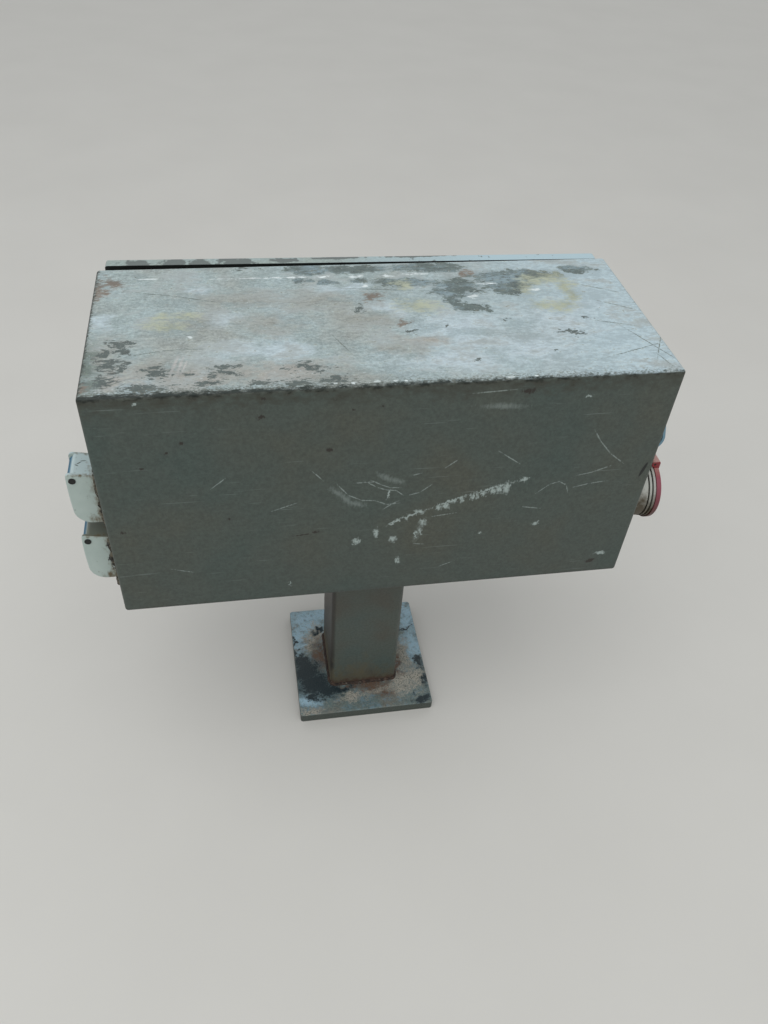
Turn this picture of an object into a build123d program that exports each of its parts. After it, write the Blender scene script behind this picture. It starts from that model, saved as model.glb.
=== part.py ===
from build123d import *
import math
import os

os.makedirs("parts", exist_ok=True)

# A distribution board for a building site: a folded steel cabinet on a square post
# with a base plate. Millimetres. The origin is the centre of the base plate's underside,
# +Z is up, the door faces -Y and the plain back panel faces +Y.

# Stand
plate_side = 200
plate_thick = 15
plate_corner = 4
plate_edge = 1
post_side = 100
post_wall = 4
post_corner = 8
stand_height = 315
head_side = 170
head_thick = 8
head_bolt_at = 68
foot_weld_leg = 7
head_weld_leg = 5
weld_nose = 1

# Flanged bolts that hold the cabinet on the stand
bolt_r = 5
bolt_hole_play = 0.5
bolt_across = 17
bolt_head_h = 6
bolt_flange_r = 10
bolt_flange_t = 1.6
bolt_tail = 3
nut_h = 8
thread_play = 0.05

# Cabinet shell
box_w = 610
box_d = 250
box_h = 305
sheet = 2
bend = 4
lip = 15
window_corner = 3

# Door pan, hung a little ajar as it was found
door_side_gap = 7.5
door_top_gap = 3
door_depth = 16
door_sheet = 1.5
door_bend = 3
door_return = 12
door_standoff = 3
door_ajar = 1.0
seal_w = 8
seal_inset = 1
seal_play = 0.3

# Weld-on hinges
barrel_r = 4.5
barrel_len = 50
barrel_gap = 0.3
hinge_pin_r = 2.5
hinge_play = 0.05
hinge_off = 0.5
hinge_forward = 7
hinge_from_centre = 95
leaf_t = 2.5
leaf_w = 8
hinge_head_r = 3.6
hinge_head_t = 2

# Quarter-turn lock
lock_inset = 29.5
lock_flange_r = 14
lock_flange_t = 2.5
lock_flange_edge = 0.8
lock_barrel_r = 11
lock_barrel_len = 19
lock_nut_across = 30
lock_nut_t = 5
lock_core_r = 7
lock_key_r = 4.6
lock_key_depth = 6
lock_stem_r = 1.6
cam_len = 29
cam_w = 14
cam_t = 2.5
cam_corner = 2.8
cam_gap = 0.5
cam_screw_r = 2.5
cam_screw_grip = 8
cam_head_across = 8
cam_head_h = 3.5
play = 0.05

# Side outlets: where they stand, and their moulded housing
outlet_from_top = 149.5
outlet_pitch = 90
outlet_from_back = 29
far_outlet_from_top = 125
far_outlet_from_back = 59
far_flap_ajar = 15
outlet_w = 38
outlet_h = 71
outlet_reach = 35.3
outlet_slope = 0.175
outlet_crown = 36
outlet_bulge_z = 8
outlet_foot_lean = 1.6
outlet_crown_r = 4
outlet_crown_in = 1
outlet_foot_r = 19
outlet_seal_t = 2
outlet_seal_edge = 1
outlet_seal_corner = 2
cheek_t = 3
cheek_edge = 0.8
flap_t = 3
flap_recess = 0.7
flap_seat = 0.5
flap_side_play = 0.4
flap_tail_x = 16
flap_pin_x = 28.5
flap_pin_z = 26
flap_pin_r = 2
flap_pin_head_r = 3.75
flap_pin_head_t = 0.8
knuckle_r = 5.8
knuckle_play = 1
knuckle_skin = 1.5
spring_w = 8
spring_play = 0.3
spring_coils = 5
spring_wire = 0.7
block_w = 27
block_low = -23.5
block_high = 16.5
block_front = 9
block_back = -16
block_play = 0.2
block_edge = 1
wall_play = 0.75
slot_depth = 16
slot_long = 7
slot_thick = 1.8
slot_turn = 60
slot_off = 6.75
outlet_screw_r = 2
outlet_screw_high = 23
outlet_screw_low = -29.5
outlet_screw_grip = 9
screw_play = 0.1
small_head_r = 3.8
small_head_h = 2.4

# Industrial socket
socket_from_top = 212.5
socket_from_back = 58.5
socket_flange = 76
socket_flange_t = 4
socket_flange_corner = 8
socket_seal_t = 2
socket_screw_at = 30
socket_screw_r = 2
socket_body_r = 37.4
socket_body_flare = 0.8
groove_1 = (24.0, 26.0)
groove_2 = (28.6, 30.6)
groove_r = 36.4
ring_1_r = 38.8
ring_2_r = 39.6
mouth = 33.3
mouth_r = 31
carrier_r = 24
carrier_front = 22
carrier_step = 4
carrier_back = -32
carrier_play = 0.2
tube_r = 29.5
sleeve_ring_r = 15.5
sleeve_r = 3.4
sleeve_bore_r = 2.5
sleeve_count = 5
sleeve_sink = 2
key_w = 6
key_d = 2.2
lid_r = 41.3
lid_t = 6.4
lid_gap = 0.3
lid_edge = 2
lid_hollow_r = 36.5
lid_hollow_d = 3.4
lid_boss_r = 29
lid_boss_t = 1
lug_w = 28
lug_r = 4
lug_over = 0.6
ear_w = 7
lug_inner = 6.6
lug_play = 0.2
lid_pin_r = 1.5
lid_spring_w = 2.4
tab_w = 16
tab_len = 6
tab_corner = 4

# Cable gland in the floor
gland_from_side = 110
gland_y = 30
gland_r = 16
gland_bore_r = 10
gland_across = 36
gland_hex_h = 10
gland_cap_across = 34
gland_cap_h = 18
gland_cap_edge = 4
gland_nut_across = 42
gland_nut_h = 6

# Mounting plate and what it carries
tray_w = 500
tray_h = 250
tray_t = 2
tray_stand = 28
tray_corner = 3
tray_hole_x = 215
tray_hole_z = 95
spacer_r = 7
stud_r = 3
stud_tail = 2
stud_play = 0.1
tray_nut_across = 10
tray_nut_h = 5
rail_w = 35
rail_rise = 7.5
rail_t = 1
rail_len = 300
rail_lift = 25
rail_base_w = 25
module = 18
module_play = 0.4
device_h = 90
device_nose_h = 45
device_shoulder = 42
device_front = 62
device_back = 5
device_seat = 0.2
device_start = -135
terminal_r = 2.6
terminal_depth = 5
terminal_z = 34
toggle_r = 6.5
toggle_play = 1.3
toggle_sink = 4
toggle_throw = 40
toggle_len = 14
toggle_t = 4
toggle_side_play = 0.4
single_toggle_w = 8
rcd_toggle_w = 14
rcd_pole_count = 4
rcd_toggle_along = 1.4
rcd_button_along = 3
main_pole_count = 3
single_count = 3
button_side = 7
button_corner = 1
button_proud = 2.5
button_travel = 2
button_play = 0.2
button_len = 8
comb_t = 3
comb_h = 10
comb_end = 1
tooth_w = 5
tooth_h = 5
comb_from_rail = 33

# Neutral and earth bars, inlet terminals
bar_len = 100
bar_side = 9
bar_below_devices = 52.5
neutral_x = -110
earth_x = 20
bar_holes = 7
bar_hole_r = 2.2
bar_screw_r = 3.5
bar_foot_w = 12
bar_foot_h = 14
bar_foot_lip = 3
bar_foot_corner = 1.5
bar_end = 8
inlet_x = 165
inlet_poles = 5
inlet_pitch = 12
inlet_h = 44
inlet_d = 38
inlet_screw_r = 2.6
inlet_slope = 7.6
inlet_groove_w = 1
inlet_groove_d = 12

# Touch guard
guard_rim_x = 15
guard_rim_z = 20
guard_t = 1.5
guard_gap = 0.7
guard_corner = 4
guard_hole_play = 1
pillar_x = 230
pillar_z = 100
pillar_r = 5
guard_head_r = 4.5
guard_head_h = 2.5

# Levels and planes that follow from the sizes above
post_top = stand_height - head_thick
box_top = stand_height + box_h
box_mid = stand_height + box_h / 2
front_y = -box_d / 2
back_inner_y = box_d / 2 - sheet
side_x = box_w / 2
gland_x = side_x - gland_from_side
window_w = box_w - 2 * (sheet + lip)
window_h = box_h - 2 * (sheet + lip)
frame_w = box_w - 2 * bend
frame_h = box_h - 2 * bend
door_w = box_w - 2 * door_side_gap
door_h = box_h - 2 * door_top_gap
door_back_y = front_y - door_standoff
door_front_y = door_back_y - door_depth
hinge_x = -(door_w / 2 + hinge_off + barrel_r)
hinge_y = door_back_y - hinge_forward
lock_x = door_w / 2 - lock_inset
tray_y = back_inner_y - tray_stand
tray_front_y = tray_y - tray_t
rail_y = tray_front_y - rail_rise
device_y = rail_y - device_seat
rail_z = box_mid + rail_lift
guard_y = device_y - device_shoulder - guard_gap
guard_w = 2 * (pillar_x + guard_rim_x)
guard_h = 2 * (pillar_z + guard_rim_z)

ajar = (
    Location((hinge_x, hinge_y, 0))
    * Location((0, 0, 0), (0, 0, -door_ajar))
    * Location((-hinge_x, -hinge_y, 0))
)


def save(part, name, place=None):
    """Set a finished piece in its place, label it and write it."""
    piece = part if place is None else place * part
    piece.label = name
    export_step(piece, f"parts/{name}.step")


def hexagon(across):
    """Corner radius of a hexagon with this size across its flats."""
    return across / math.sqrt(3)


# Base plate: a flat square with slightly rounded corners
with BuildPart() as base_plate:
    with BuildSketch():
        RectangleRounded(plate_side, plate_side, plate_corner)
    extrude(amount=plate_thick)
    chamfer(base_plate.edges().group_by(Axis.Z)[-1], plate_edge)
save(base_plate.part, "base_plate")

# Post: square hollow section standing on the plate
with BuildPart() as post:
    with BuildSketch(Plane.XY.offset(plate_thick)):
        RectangleRounded(post_side, post_side, post_corner)
        inner = post_side - 2 * post_wall
        RectangleRounded(inner, inner, post_corner - post_wall, mode=Mode.SUBTRACT)
    extrude(amount=post_top - plate_thick)
save(post.part, "post")

# Head plate, welded on the post and bolted under the cabinet
bolt_places = [
    (x, y) for x in (-head_bolt_at, head_bolt_at) for y in (-head_bolt_at, head_bolt_at)
]
with BuildPart() as head_plate:
    with BuildSketch(Plane.XY.offset(post_top)):
        RectangleRounded(head_side, head_side, plate_corner)
        with Locations(*bolt_places):
            Circle(bolt_r + bolt_hole_play, mode=Mode.SUBTRACT)
    extrude(amount=head_thick)
save(head_plate.part, "head_plate")


def weld_bead(low, high, foot_leg, top_leg):
    """A fillet weld round the post, between two levels."""
    with BuildPart() as bead:
        with BuildSketch(Plane.XY.offset(low)):
            low_side = post_side + 2 * foot_leg
            RectangleRounded(low_side, low_side, post_corner + foot_leg)
        with BuildSketch(Plane.XY.offset(high)):
            high_side = post_side + 2 * top_leg
            RectangleRounded(high_side, high_side, post_corner + top_leg)
        loft()
        with BuildSketch(Plane.XY.offset(low)):
            RectangleRounded(post_side, post_side, post_corner)
        extrude(amount=high - low, mode=Mode.SUBTRACT)
    return bead.part


foot_weld = weld_bead(plate_thick, plate_thick + foot_weld_leg, foot_weld_leg, weld_nose)
head_weld = weld_bead(post_top - head_weld_leg, post_top, weld_nose, head_weld_leg)
save(Part() + [foot_weld, head_weld], "post_welds")

# Bolts down through the cabinet's floor and the head plate, with nuts below
bolt_seat = stand_height + sheet
with BuildPart() as stand_bolts:
    with BuildSketch(Plane.XY.offset(bolt_seat)):
        with Locations(*bolt_places):
            Circle(bolt_flange_r)
    extrude(amount=bolt_flange_t)
    with BuildSketch(Plane.XY.offset(bolt_seat + bolt_flange_t)):
        with Locations(*bolt_places):
            RegularPolygon(hexagon(bolt_across), 6)
    extrude(amount=bolt_head_h)
    with BuildSketch(Plane.XY.offset(bolt_seat)):
        with Locations(*bolt_places):
            Circle(bolt_r)
    extrude(amount=-(sheet + head_thick + bolt_flange_t + nut_h + bolt_tail))
save(stand_bolts.part, "stand_bolts")

with BuildPart() as stand_nuts:
    with BuildSketch(Plane.XY.offset(post_top - bolt_flange_t)):
        with Locations(*bolt_places):
            Circle(bolt_flange_r)
    extrude(amount=bolt_flange_t)
    with BuildSketch(Plane.XY.offset(post_top - bolt_flange_t - nut_h)):
        with Locations(*bolt_places):
            RegularPolygon(hexagon(bolt_across), 6)
    extrude(amount=nut_h)
    with BuildSketch(Plane.XY.offset(post_top)):
        with Locations(*bolt_places):
            Circle(bolt_r + thread_play)
    extrude(amount=-(bolt_flange_t + nut_h), mode=Mode.SUBTRACT)
save(stand_nuts.part, "stand_nuts")

# Where each side fitting stands: its side, its Y and its Z
outlet_places = {
    "upper": (1, box_d / 2 - outlet_from_back - outlet_w / 2, box_top - outlet_from_top),
    "lower": (1, box_d / 2 - outlet_from_back - outlet_w / 2, box_top - outlet_from_top - outlet_pitch),
    "far": (-1, box_d / 2 - far_outlet_from_back - outlet_w / 2, box_top - far_outlet_from_top),
}
socket_y = box_d / 2 - socket_from_back
socket_z = box_top - socket_from_top
block_h = block_high - block_low
block_mid = (block_high + block_low) / 2


def on_wall(side, y, z):
    """From a fitting's own axes, +X out of the wall, to its place on a side wall."""
    return Location((side * side_x, y, z), (0, 0, 0 if side > 0 else 180))


def wall_plane(side, y, z):
    """A plane on a side wall: its normal points out, its x runs along Y and its y up."""
    return Plane(origin=(side * side_x, y, z), x_dir=(0, side, 0), z_dir=(side, 0, 0))


# Cabinet shell: folded sheet, open at the front
with BuildPart() as cabinet_shell:
    with BuildSketch(Plane.XY.offset(stand_height)):
        RectangleRounded(box_w, box_d, bend)
    extrude(amount=box_h)
    fillet(cabinet_shell.faces().sort_by(Axis.Z)[-1].edges(), bend)
    fillet(cabinet_shell.faces().sort_by(Axis.Z)[0].edges(), bend)
    with BuildSketch(Plane.XY.offset(stand_height + sheet)):
        RectangleRounded(box_w - 2 * sheet, box_d - 2 * sheet, bend - sheet)
    extrude(amount=box_h - 2 * sheet, mode=Mode.SUBTRACT)
    with BuildSketch(Plane.XZ.offset(-front_y)):
        with Locations((0, box_mid)):
            Rectangle(frame_w, frame_h)
    extrude(amount=-sheet, mode=Mode.SUBTRACT)
    for side, y, z in outlet_places.values():
        with BuildSketch(wall_plane(side, y, z)):
            with Locations((0, block_mid)):
                Rectangle(block_w + 2 * wall_play, block_h + 2 * wall_play)
            with Locations((0, outlet_screw_high), (0, outlet_screw_low)):
                Circle(outlet_screw_r + screw_play)
        extrude(amount=-2 * sheet, mode=Mode.SUBTRACT)
    with BuildSketch(wall_plane(-1, socket_y, socket_z)):
        Circle(tube_r + wall_play)
        with GridLocations(2 * socket_screw_at, 2 * socket_screw_at, 2, 2):
            Circle(socket_screw_r + screw_play)
    extrude(amount=-2 * sheet, mode=Mode.SUBTRACT)
    with BuildSketch(Plane.XY.offset(stand_height)):
        with Locations(*bolt_places):
            Circle(bolt_r + bolt_hole_play)
        with Locations((gland_x, gland_y)):
            Circle(gland_r + wall_play)
    extrude(amount=sheet, mode=Mode.SUBTRACT)
save(cabinet_shell.part, "cabinet_shell")

# Door frame: a flat lip round the door opening, welded flush into the shell's front
with BuildPart() as door_frame:
    with BuildSketch(Plane.XZ.offset(-front_y)):
        with Locations((0, box_mid)):
            Rectangle(frame_w, frame_h)
            RectangleRounded(window_w, window_h, window_corner, mode=Mode.SUBTRACT)
    extrude(amount=-sheet)
save(door_frame.part, "door_frame")

# Foam seal on the lip, just outside the opening
seal_hole_w = window_w + 2 * seal_inset
seal_hole_h = window_h + 2 * seal_inset
with BuildPart() as door_seal:
    with BuildSketch(Plane.XZ.offset(-front_y)):
        with Locations((0, box_mid)):
            RectangleRounded(seal_hole_w + 2 * seal_w, seal_hole_h + 2 * seal_w, window_corner + seal_w)
            RectangleRounded(seal_hole_w, seal_hole_h, window_corner, mode=Mode.SUBTRACT)
    extrude(amount=door_standoff - seal_play)
save(door_seal.part, "door_seal")

# Door: a folded pan whose edges turn in again behind it
with BuildPart() as door_panel:
    with BuildSketch(Plane.XZ.offset(-door_back_y)):
        with Locations((0, box_mid)):
            RectangleRounded(door_w, door_h, door_bend)
    extrude(amount=door_depth)
    fillet(door_panel.faces().sort_by(Axis.Y)[0].edges(), door_bend)
    with BuildSketch(Plane.XZ.offset(-door_back_y + door_sheet)):
        with Locations((0, box_mid)):
            RectangleRounded(door_w - 2 * door_sheet, door_h - 2 * door_sheet, door_bend - door_sheet)
    extrude(amount=door_depth - 2 * door_sheet, mode=Mode.SUBTRACT)
    with BuildSketch(Plane.XZ.offset(-door_back_y)):
        with Locations((0, box_mid)):
            RectangleRounded(door_w - 2 * door_return, door_h - 2 * door_return, window_corner)
    extrude(amount=door_sheet, mode=Mode.SUBTRACT)
    with BuildSketch(Plane.XZ.offset(-door_front_y)):
        with Locations((lock_x, box_mid)):
            Circle(lock_barrel_r + play)
    extrude(amount=-door_sheet, mode=Mode.SUBTRACT)
save(door_panel.part, "door_panel", ajar)

# Hinges: the frame's half barrel stands on the lip, the door's is welded to the pan's side
hinge_levels = [box_mid - hinge_from_centre, box_mid + hinge_from_centre]
half_barrel = barrel_len / 2 - barrel_gap / 2
for name, grows, place in (("hinge_frame_leaves", -1, None), ("hinge_door_leaves", 1, ajar)):
    with BuildPart() as leaves:
        for level in hinge_levels:
            start = level + grows * barrel_gap / 2
            with BuildSketch(Plane.XY.offset(start)):
                with Locations((hinge_x, hinge_y)):
                    Circle(barrel_r)
                if grows < 0:
                    reach = front_y - hinge_y
                    with Locations((hinge_x + barrel_r - hinge_off, hinge_y)):
                        Rectangle(leaf_t, reach, align=(Align.MAX, Align.MIN))
                else:
                    with Locations((-door_w / 2, hinge_y)):
                        Rectangle(leaf_t, leaf_w, align=(Align.MAX, Align.MAX))
                with Locations((hinge_x, hinge_y)):
                    Circle(hinge_pin_r + hinge_play, mode=Mode.SUBTRACT)
            extrude(amount=grows * half_barrel)
    save(leaves.part, name, place)

with BuildPart() as hinge_pins:
    for level in hinge_levels:
        with BuildSketch(Plane.XY.offset(level - barrel_len / 2)):
            with Locations((hinge_x, hinge_y)):
                Circle(hinge_pin_r)
        extrude(amount=barrel_len)
        with BuildSketch(Plane.XY.offset(level + barrel_len / 2 + barrel_gap)):
            with Locations((hinge_x, hinge_y)):
                Circle(hinge_head_r)
        extrude(amount=hinge_head_t)
        with BuildSketch(Plane.XY.offset(level + barrel_len / 2)):
            with Locations((hinge_x, hinge_y)):
                Circle(hinge_pin_r)
        extrude(amount=barrel_gap)
save(hinge_pins.part, "hinge_pins")

# Quarter-turn lock: flanged body and nut, turning core, cam and its screw
cam_front_y = front_y + sheet + cam_gap
core_front_y = door_front_y - lock_flange_t
with BuildPart() as lock_body:
    with BuildSketch(Plane.XZ.offset(-door_front_y)):
        with Locations((lock_x, box_mid)):
            Circle(lock_flange_r)
    extrude(amount=lock_flange_t)
    chamfer(lock_body.faces().sort_by(Axis.Y)[0].edges(), lock_flange_edge)
    with BuildSketch(Plane.XZ.offset(-door_front_y)):
        with Locations((lock_x, box_mid)):
            Circle(lock_barrel_r)
    extrude(amount=-lock_barrel_len)
    with BuildSketch(Plane.XZ.offset(-core_front_y)):
        with Locations((lock_x, box_mid)):
            Circle(lock_core_r + play)
    extrude(amount=-(lock_flange_t + lock_barrel_len), mode=Mode.SUBTRACT)
save(lock_body.part, "lock_body", ajar)

with BuildPart() as lock_nut:
    with BuildSketch(Plane.XZ.offset(-door_front_y - door_sheet)):
        with Locations((lock_x, box_mid)):
            RegularPolygon(hexagon(lock_nut_across), 6)
            Circle(lock_barrel_r + thread_play, mode=Mode.SUBTRACT)
    extrude(amount=-lock_nut_t)
save(lock_nut.part, "lock_nut", ajar)

with BuildPart() as lock_core:
    with BuildSketch(Plane.XZ.offset(-core_front_y)):
        with Locations((lock_x, box_mid)):
            Circle(lock_core_r)
    extrude(amount=core_front_y - cam_front_y)
    with BuildSketch(Plane.XZ.offset(-core_front_y)):
        with Locations((lock_x, box_mid)):
            Circle(lock_key_r)
            Circle(lock_stem_r, mode=Mode.SUBTRACT)
            Rectangle(2 * lock_key_r, lock_stem_r, mode=Mode.SUBTRACT)
    extrude(amount=-lock_key_depth, mode=Mode.SUBTRACT)
    with BuildSketch(Plane.XZ.offset(-cam_front_y)):
        with Locations((lock_x, box_mid)):
            Circle(cam_screw_r + thread_play)
    extrude(amount=cam_screw_grip + thread_play, mode=Mode.SUBTRACT)
save(lock_core.part, "lock_core", ajar)

with BuildPart() as lock_cam:
    with BuildSketch(Plane.XZ.offset(-cam_front_y)):
        with Locations((lock_x, box_mid)):
            Circle(cam_w / 2)
        with Locations((lock_x, box_mid - cam_len / 2)):
            RectangleRounded(cam_w, cam_len, cam_corner)
        with Locations((lock_x, box_mid)):
            Circle(cam_screw_r + thread_play, mode=Mode.SUBTRACT)
    extrude(amount=-cam_t)
save(lock_cam.part, "lock_cam", ajar)

with BuildPart() as cam_screw:
    with BuildSketch(Plane.XZ.offset(-cam_front_y - cam_t)):
        with Locations((lock_x, box_mid)):
            RegularPolygon(hexagon(cam_head_across), 6)
    extrude(amount=-cam_head_h)
    with BuildSketch(Plane.XZ.offset(-cam_front_y - cam_t)):
        with Locations((lock_x, box_mid)):
            Circle(cam_screw_r)
    extrude(amount=cam_t + cam_screw_grip)
save(cam_screw.part, "cam_screw", ajar)


def outlet_outline(inset):
    """An outlet's side view, drawn in from its outer edge and its underside by the inset."""
    outer = outlet_reach - inset
    low = -outlet_h / 2 + inset
    crown_x = outer - outlet_crown_in
    crown_z = outlet_crown - outlet_slope * (outlet_reach - crown_x)
    root_z = crown_z - outlet_slope * (crown_x - outlet_seal_t)
    foot_x = outer - outlet_foot_lean
    with BuildSketch(Plane.XZ) as outline:
        with BuildLine():
            Line((outlet_seal_t, root_z), (crown_x, crown_z))
            ThreePointArc((crown_x, crown_z), (outer, outlet_bulge_z), (foot_x, low))
            Polyline((foot_x, low), (outlet_seal_t, low), (outlet_seal_t, root_z))
        make_face()
        corners = outline.vertices()
        fillet(corners.sort_by_distance((foot_x, low))[0], outlet_foot_r - inset)
        fillet(outline.vertices().sort_by_distance((crown_x, crown_z))[0], outlet_crown_r)
    return outline.sketch


bay_w = outlet_w - 2 * cheek_t
flap_w = bay_w - 2 * flap_side_play
flap_back = flap_recess + flap_t
core_inset = flap_back + flap_seat
knuckle_room = knuckle_r + knuckle_play
coil_room = knuckle_r - knuckle_skin

# Outlet housing: two cheeks with the flap's bay between them, and a well for the contacts
with BuildSketch(Plane.XZ) as flap_bay:
    with Locations((flap_tail_x - 2 * flap_seat, -outlet_h)):
        Rectangle(outlet_reach, 2 * outlet_h, align=(Align.MIN, Align.MIN))
    add(outlet_outline(core_inset), mode=Mode.SUBTRACT)
    with Locations((flap_pin_x, flap_pin_z)):
        Circle(knuckle_room)
with BuildPart() as outlet_housing:
    extrude(outlet_outline(0), amount=outlet_w / 2, both=True)
    cheeks = outlet_housing.faces().sort_by(Axis.Y)
    fillet(cheeks[0].edges() + cheeks[-1].edges(), cheek_edge)
    extrude(flap_bay.sketch, amount=bay_w / 2, both=True, mode=Mode.SUBTRACT)
    with BuildSketch(Plane.YZ.offset(outlet_seal_t)):
        with Locations((0, block_mid)):
            Rectangle(block_w + 2 * block_play, block_h + 2 * block_play)
    extrude(amount=outlet_reach, mode=Mode.SUBTRACT)
    with BuildSketch(Plane.YZ.offset(outlet_seal_t)):
        with Locations((0, outlet_screw_high), (0, outlet_screw_low)):
            Circle(outlet_screw_r + thread_play)
    extrude(amount=outlet_screw_grip, mode=Mode.SUBTRACT)
    with BuildSketch(Plane.XZ):
        with Locations((flap_pin_x, flap_pin_z)):
            Circle(flap_pin_r + play)
    extrude(amount=outlet_w, both=True, mode=Mode.SUBTRACT)

# Outlet flap: a curved visor between the cheeks, with a knuckle round the pin
with BuildSketch(Plane.XZ) as flap_side:
    add(outlet_outline(flap_recess))
    add(outlet_outline(flap_back), mode=Mode.SUBTRACT)
    with Locations((flap_tail_x, flap_pin_z)):
        Rectangle(outlet_reach, 2 * outlet_h, align=(Align.MIN, Align.MAX), mode=Mode.INTERSECT)
    with Locations((flap_pin_x, flap_pin_z)):
        Circle(knuckle_r)
        Circle(flap_pin_r + play, mode=Mode.SUBTRACT)
with BuildPart() as outlet_flap:
    extrude(flap_side.sketch, amount=flap_w / 2, both=True)
    with BuildSketch(Plane.XZ):
        with Locations((flap_pin_x, flap_pin_z)):
            Circle(coil_room)
            Rectangle(2 * knuckle_r, 2 * coil_room, align=(Align.MAX, Align.CENTER))
    extrude(amount=spring_w / 2, both=True, mode=Mode.SUBTRACT)


def coil_spring(centre_x, centre_z, inner_r, wire, coils, length):
    """A close-wound spring along Y: the outline of its turns, spun about the pin."""
    pitch = length / coils
    with BuildPart() as spring:
        with BuildSketch(Plane.XY):
            with BuildLine():
                points = [(centre_x + inner_r, -length / 2)]
                for turn in range(coils):
                    start = -length / 2 + turn * pitch
                    points.append((centre_x + inner_r + wire / 2, start))
                    points.append((centre_x + inner_r + wire, start + pitch / 2))
                points.append((centre_x + inner_r + wire / 2, length / 2))
                points.append((centre_x + inner_r, length / 2))
                Polyline(*points, close=True)
            make_face()
        revolve(axis=Axis((centre_x, 0, 0), (0, 1, 0)))
    return Location((0, 0, centre_z)) * spring.part


outlet_spring = coil_spring(
    flap_pin_x, flap_pin_z, flap_pin_r + play, spring_wire, spring_coils, spring_w - 2 * spring_play
)

# Outlet pin, with a flat head outside each cheek
with BuildPart() as flap_pin:
    with BuildSketch(Plane.XZ):
        with Locations((flap_pin_x, flap_pin_z)):
            Circle(flap_pin_r)
    extrude(amount=outlet_w / 2, both=True)
    for way in (-1, 1):
        with BuildSketch(Plane.XZ.offset(way * outlet_w / 2)):
            with Locations((flap_pin_x, flap_pin_z)):
                Circle(flap_pin_head_r)
        extrude(amount=way * flap_pin_head_t)

# Contact block: three slots for flat pins in its face
with BuildPart() as contact_block:
    with BuildSketch(Plane.YZ.offset(block_back)):
        with Locations((0, block_mid)):
            RectangleRounded(block_w, block_h, block_edge)
    extrude(amount=block_front - block_back)
    with BuildSketch(Plane.YZ.offset(block_front)):
        for way in (-1, 1):
            spot = (way * slot_off, block_mid + slot_long / 2, 0)
            with Locations(Location(spot, (0, 0, -way * slot_turn))):
                Rectangle(slot_long, slot_thick)
        with Locations((0, block_mid - slot_long)):
            Rectangle(slot_thick, slot_long)
    extrude(amount=-slot_depth, mode=Mode.SUBTRACT)

# Rubber seal behind the housing
with BuildPart() as outlet_seal:
    seal_high = outlet_crown - outlet_slope * outlet_reach + outlet_seal_edge
    seal_low = -outlet_h / 2 - outlet_seal_edge
    with BuildSketch(Plane.YZ):
        with Locations((0, (seal_high + seal_low) / 2)):
            RectangleRounded(outlet_w + 2 * outlet_seal_edge, seal_high - seal_low, outlet_seal_corner)
        with Locations((0, block_mid)):
            Rectangle(block_w + 2 * wall_play, block_h + 2 * wall_play, mode=Mode.SUBTRACT)
        with Locations((0, outlet_screw_high), (0, outlet_screw_low)):
            Circle(outlet_screw_r + screw_play, mode=Mode.SUBTRACT)
    extrude(amount=outlet_seal_t)

# Screws from inside the cabinet into the housing's back
with BuildPart() as outlet_screw_pair:
    with BuildSketch(Plane.YZ.offset(-sheet)):
        with Locations((0, outlet_screw_high), (0, outlet_screw_low)):
            Circle(small_head_r)
    extrude(amount=-small_head_h)
    with BuildSketch(Plane.YZ.offset(-sheet)):
        with Locations((0, outlet_screw_high), (0, outlet_screw_low)):
            Circle(outlet_screw_r)
    extrude(amount=sheet + outlet_seal_t + outlet_screw_grip - small_head_h)

for spot, (side, y, z) in outlet_places.items():
    there = on_wall(side, y, z)
    tilt = far_flap_ajar if side < 0 else 0
    hinge = Location((flap_pin_x, 0, flap_pin_z))
    opened = there * hinge * Location((0, 0, 0), (0, -tilt, 0)) * hinge.inverse()
    save(outlet_housing.part, f"{spot}_outlet_housing", there)
    save(outlet_flap.part, f"{spot}_outlet_flap", opened)


def at_every_outlet(single):
    """Copies of a small piece, one set at each outlet."""
    every_place = [on_wall(*place) for place in outlet_places.values()]
    return [there * solid for there in every_place for solid in single.solids()]


save(Part() + at_every_outlet(contact_block.part), "contact_blocks")
save(Part() + at_every_outlet(flap_pin.part), "outlet_pins")
save(Part() + at_every_outlet(outlet_screw_pair.part), "outlet_screws")

# Industrial socket, drawn along +X out of the wall and set on the other side wall
on_socket = on_wall(-1, socket_y, socket_z)
lid_back = mouth + lid_gap
lid_front = lid_back + lid_t
lug_x = mouth
lug_z = ring_2_r + lug_over + lug_r

# The socket's mouth, with the slot for a plug's key
with BuildPart() as socket_bore:
    with BuildSketch(Plane.YZ.offset(carrier_step)):
        Circle(mouth_r)
        with Locations((0, -mouth_r)):
            Rectangle(key_w, 2 * key_d)
    extrude(amount=mouth)

# Its body: a square flange, a round body before it and a tube through the wall behind it
with BuildPart() as socket_body:
    with BuildSketch(Plane.YZ.offset(socket_seal_t)):
        RectangleRounded(socket_flange, socket_flange, socket_flange_corner)
    extrude(amount=socket_flange_t)
    with BuildSketch(Plane.XZ):
        with BuildLine():
            face = socket_seal_t + socket_flange_t
            Polyline(
                (socket_seal_t, 0),
                (socket_seal_t, socket_body_r),
                (face, socket_body_r),
                (groove_1[0], socket_body_r + socket_body_flare),
                (groove_1[0], 0),
                close=True,
            )
        make_face()
    revolve(axis=Axis.X)
    with BuildSketch(Plane.YZ.offset(socket_seal_t)):
        Circle(tube_r)
    extrude(amount=carrier_back - socket_seal_t)
    add(socket_bore.part, mode=Mode.SUBTRACT)
    with BuildSketch(Plane.YZ.offset(carrier_back)):
        Circle(carrier_r + carrier_play)
    extrude(amount=carrier_step - carrier_back, mode=Mode.SUBTRACT)
    with BuildSketch(Plane.YZ):
        with GridLocations(2 * socket_screw_at, 2 * socket_screw_at, 2, 2):
            Circle(socket_screw_r + screw_play)
    extrude(amount=mouth, mode=Mode.SUBTRACT)
save(socket_body.part, "socket_body", on_socket)

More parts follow.
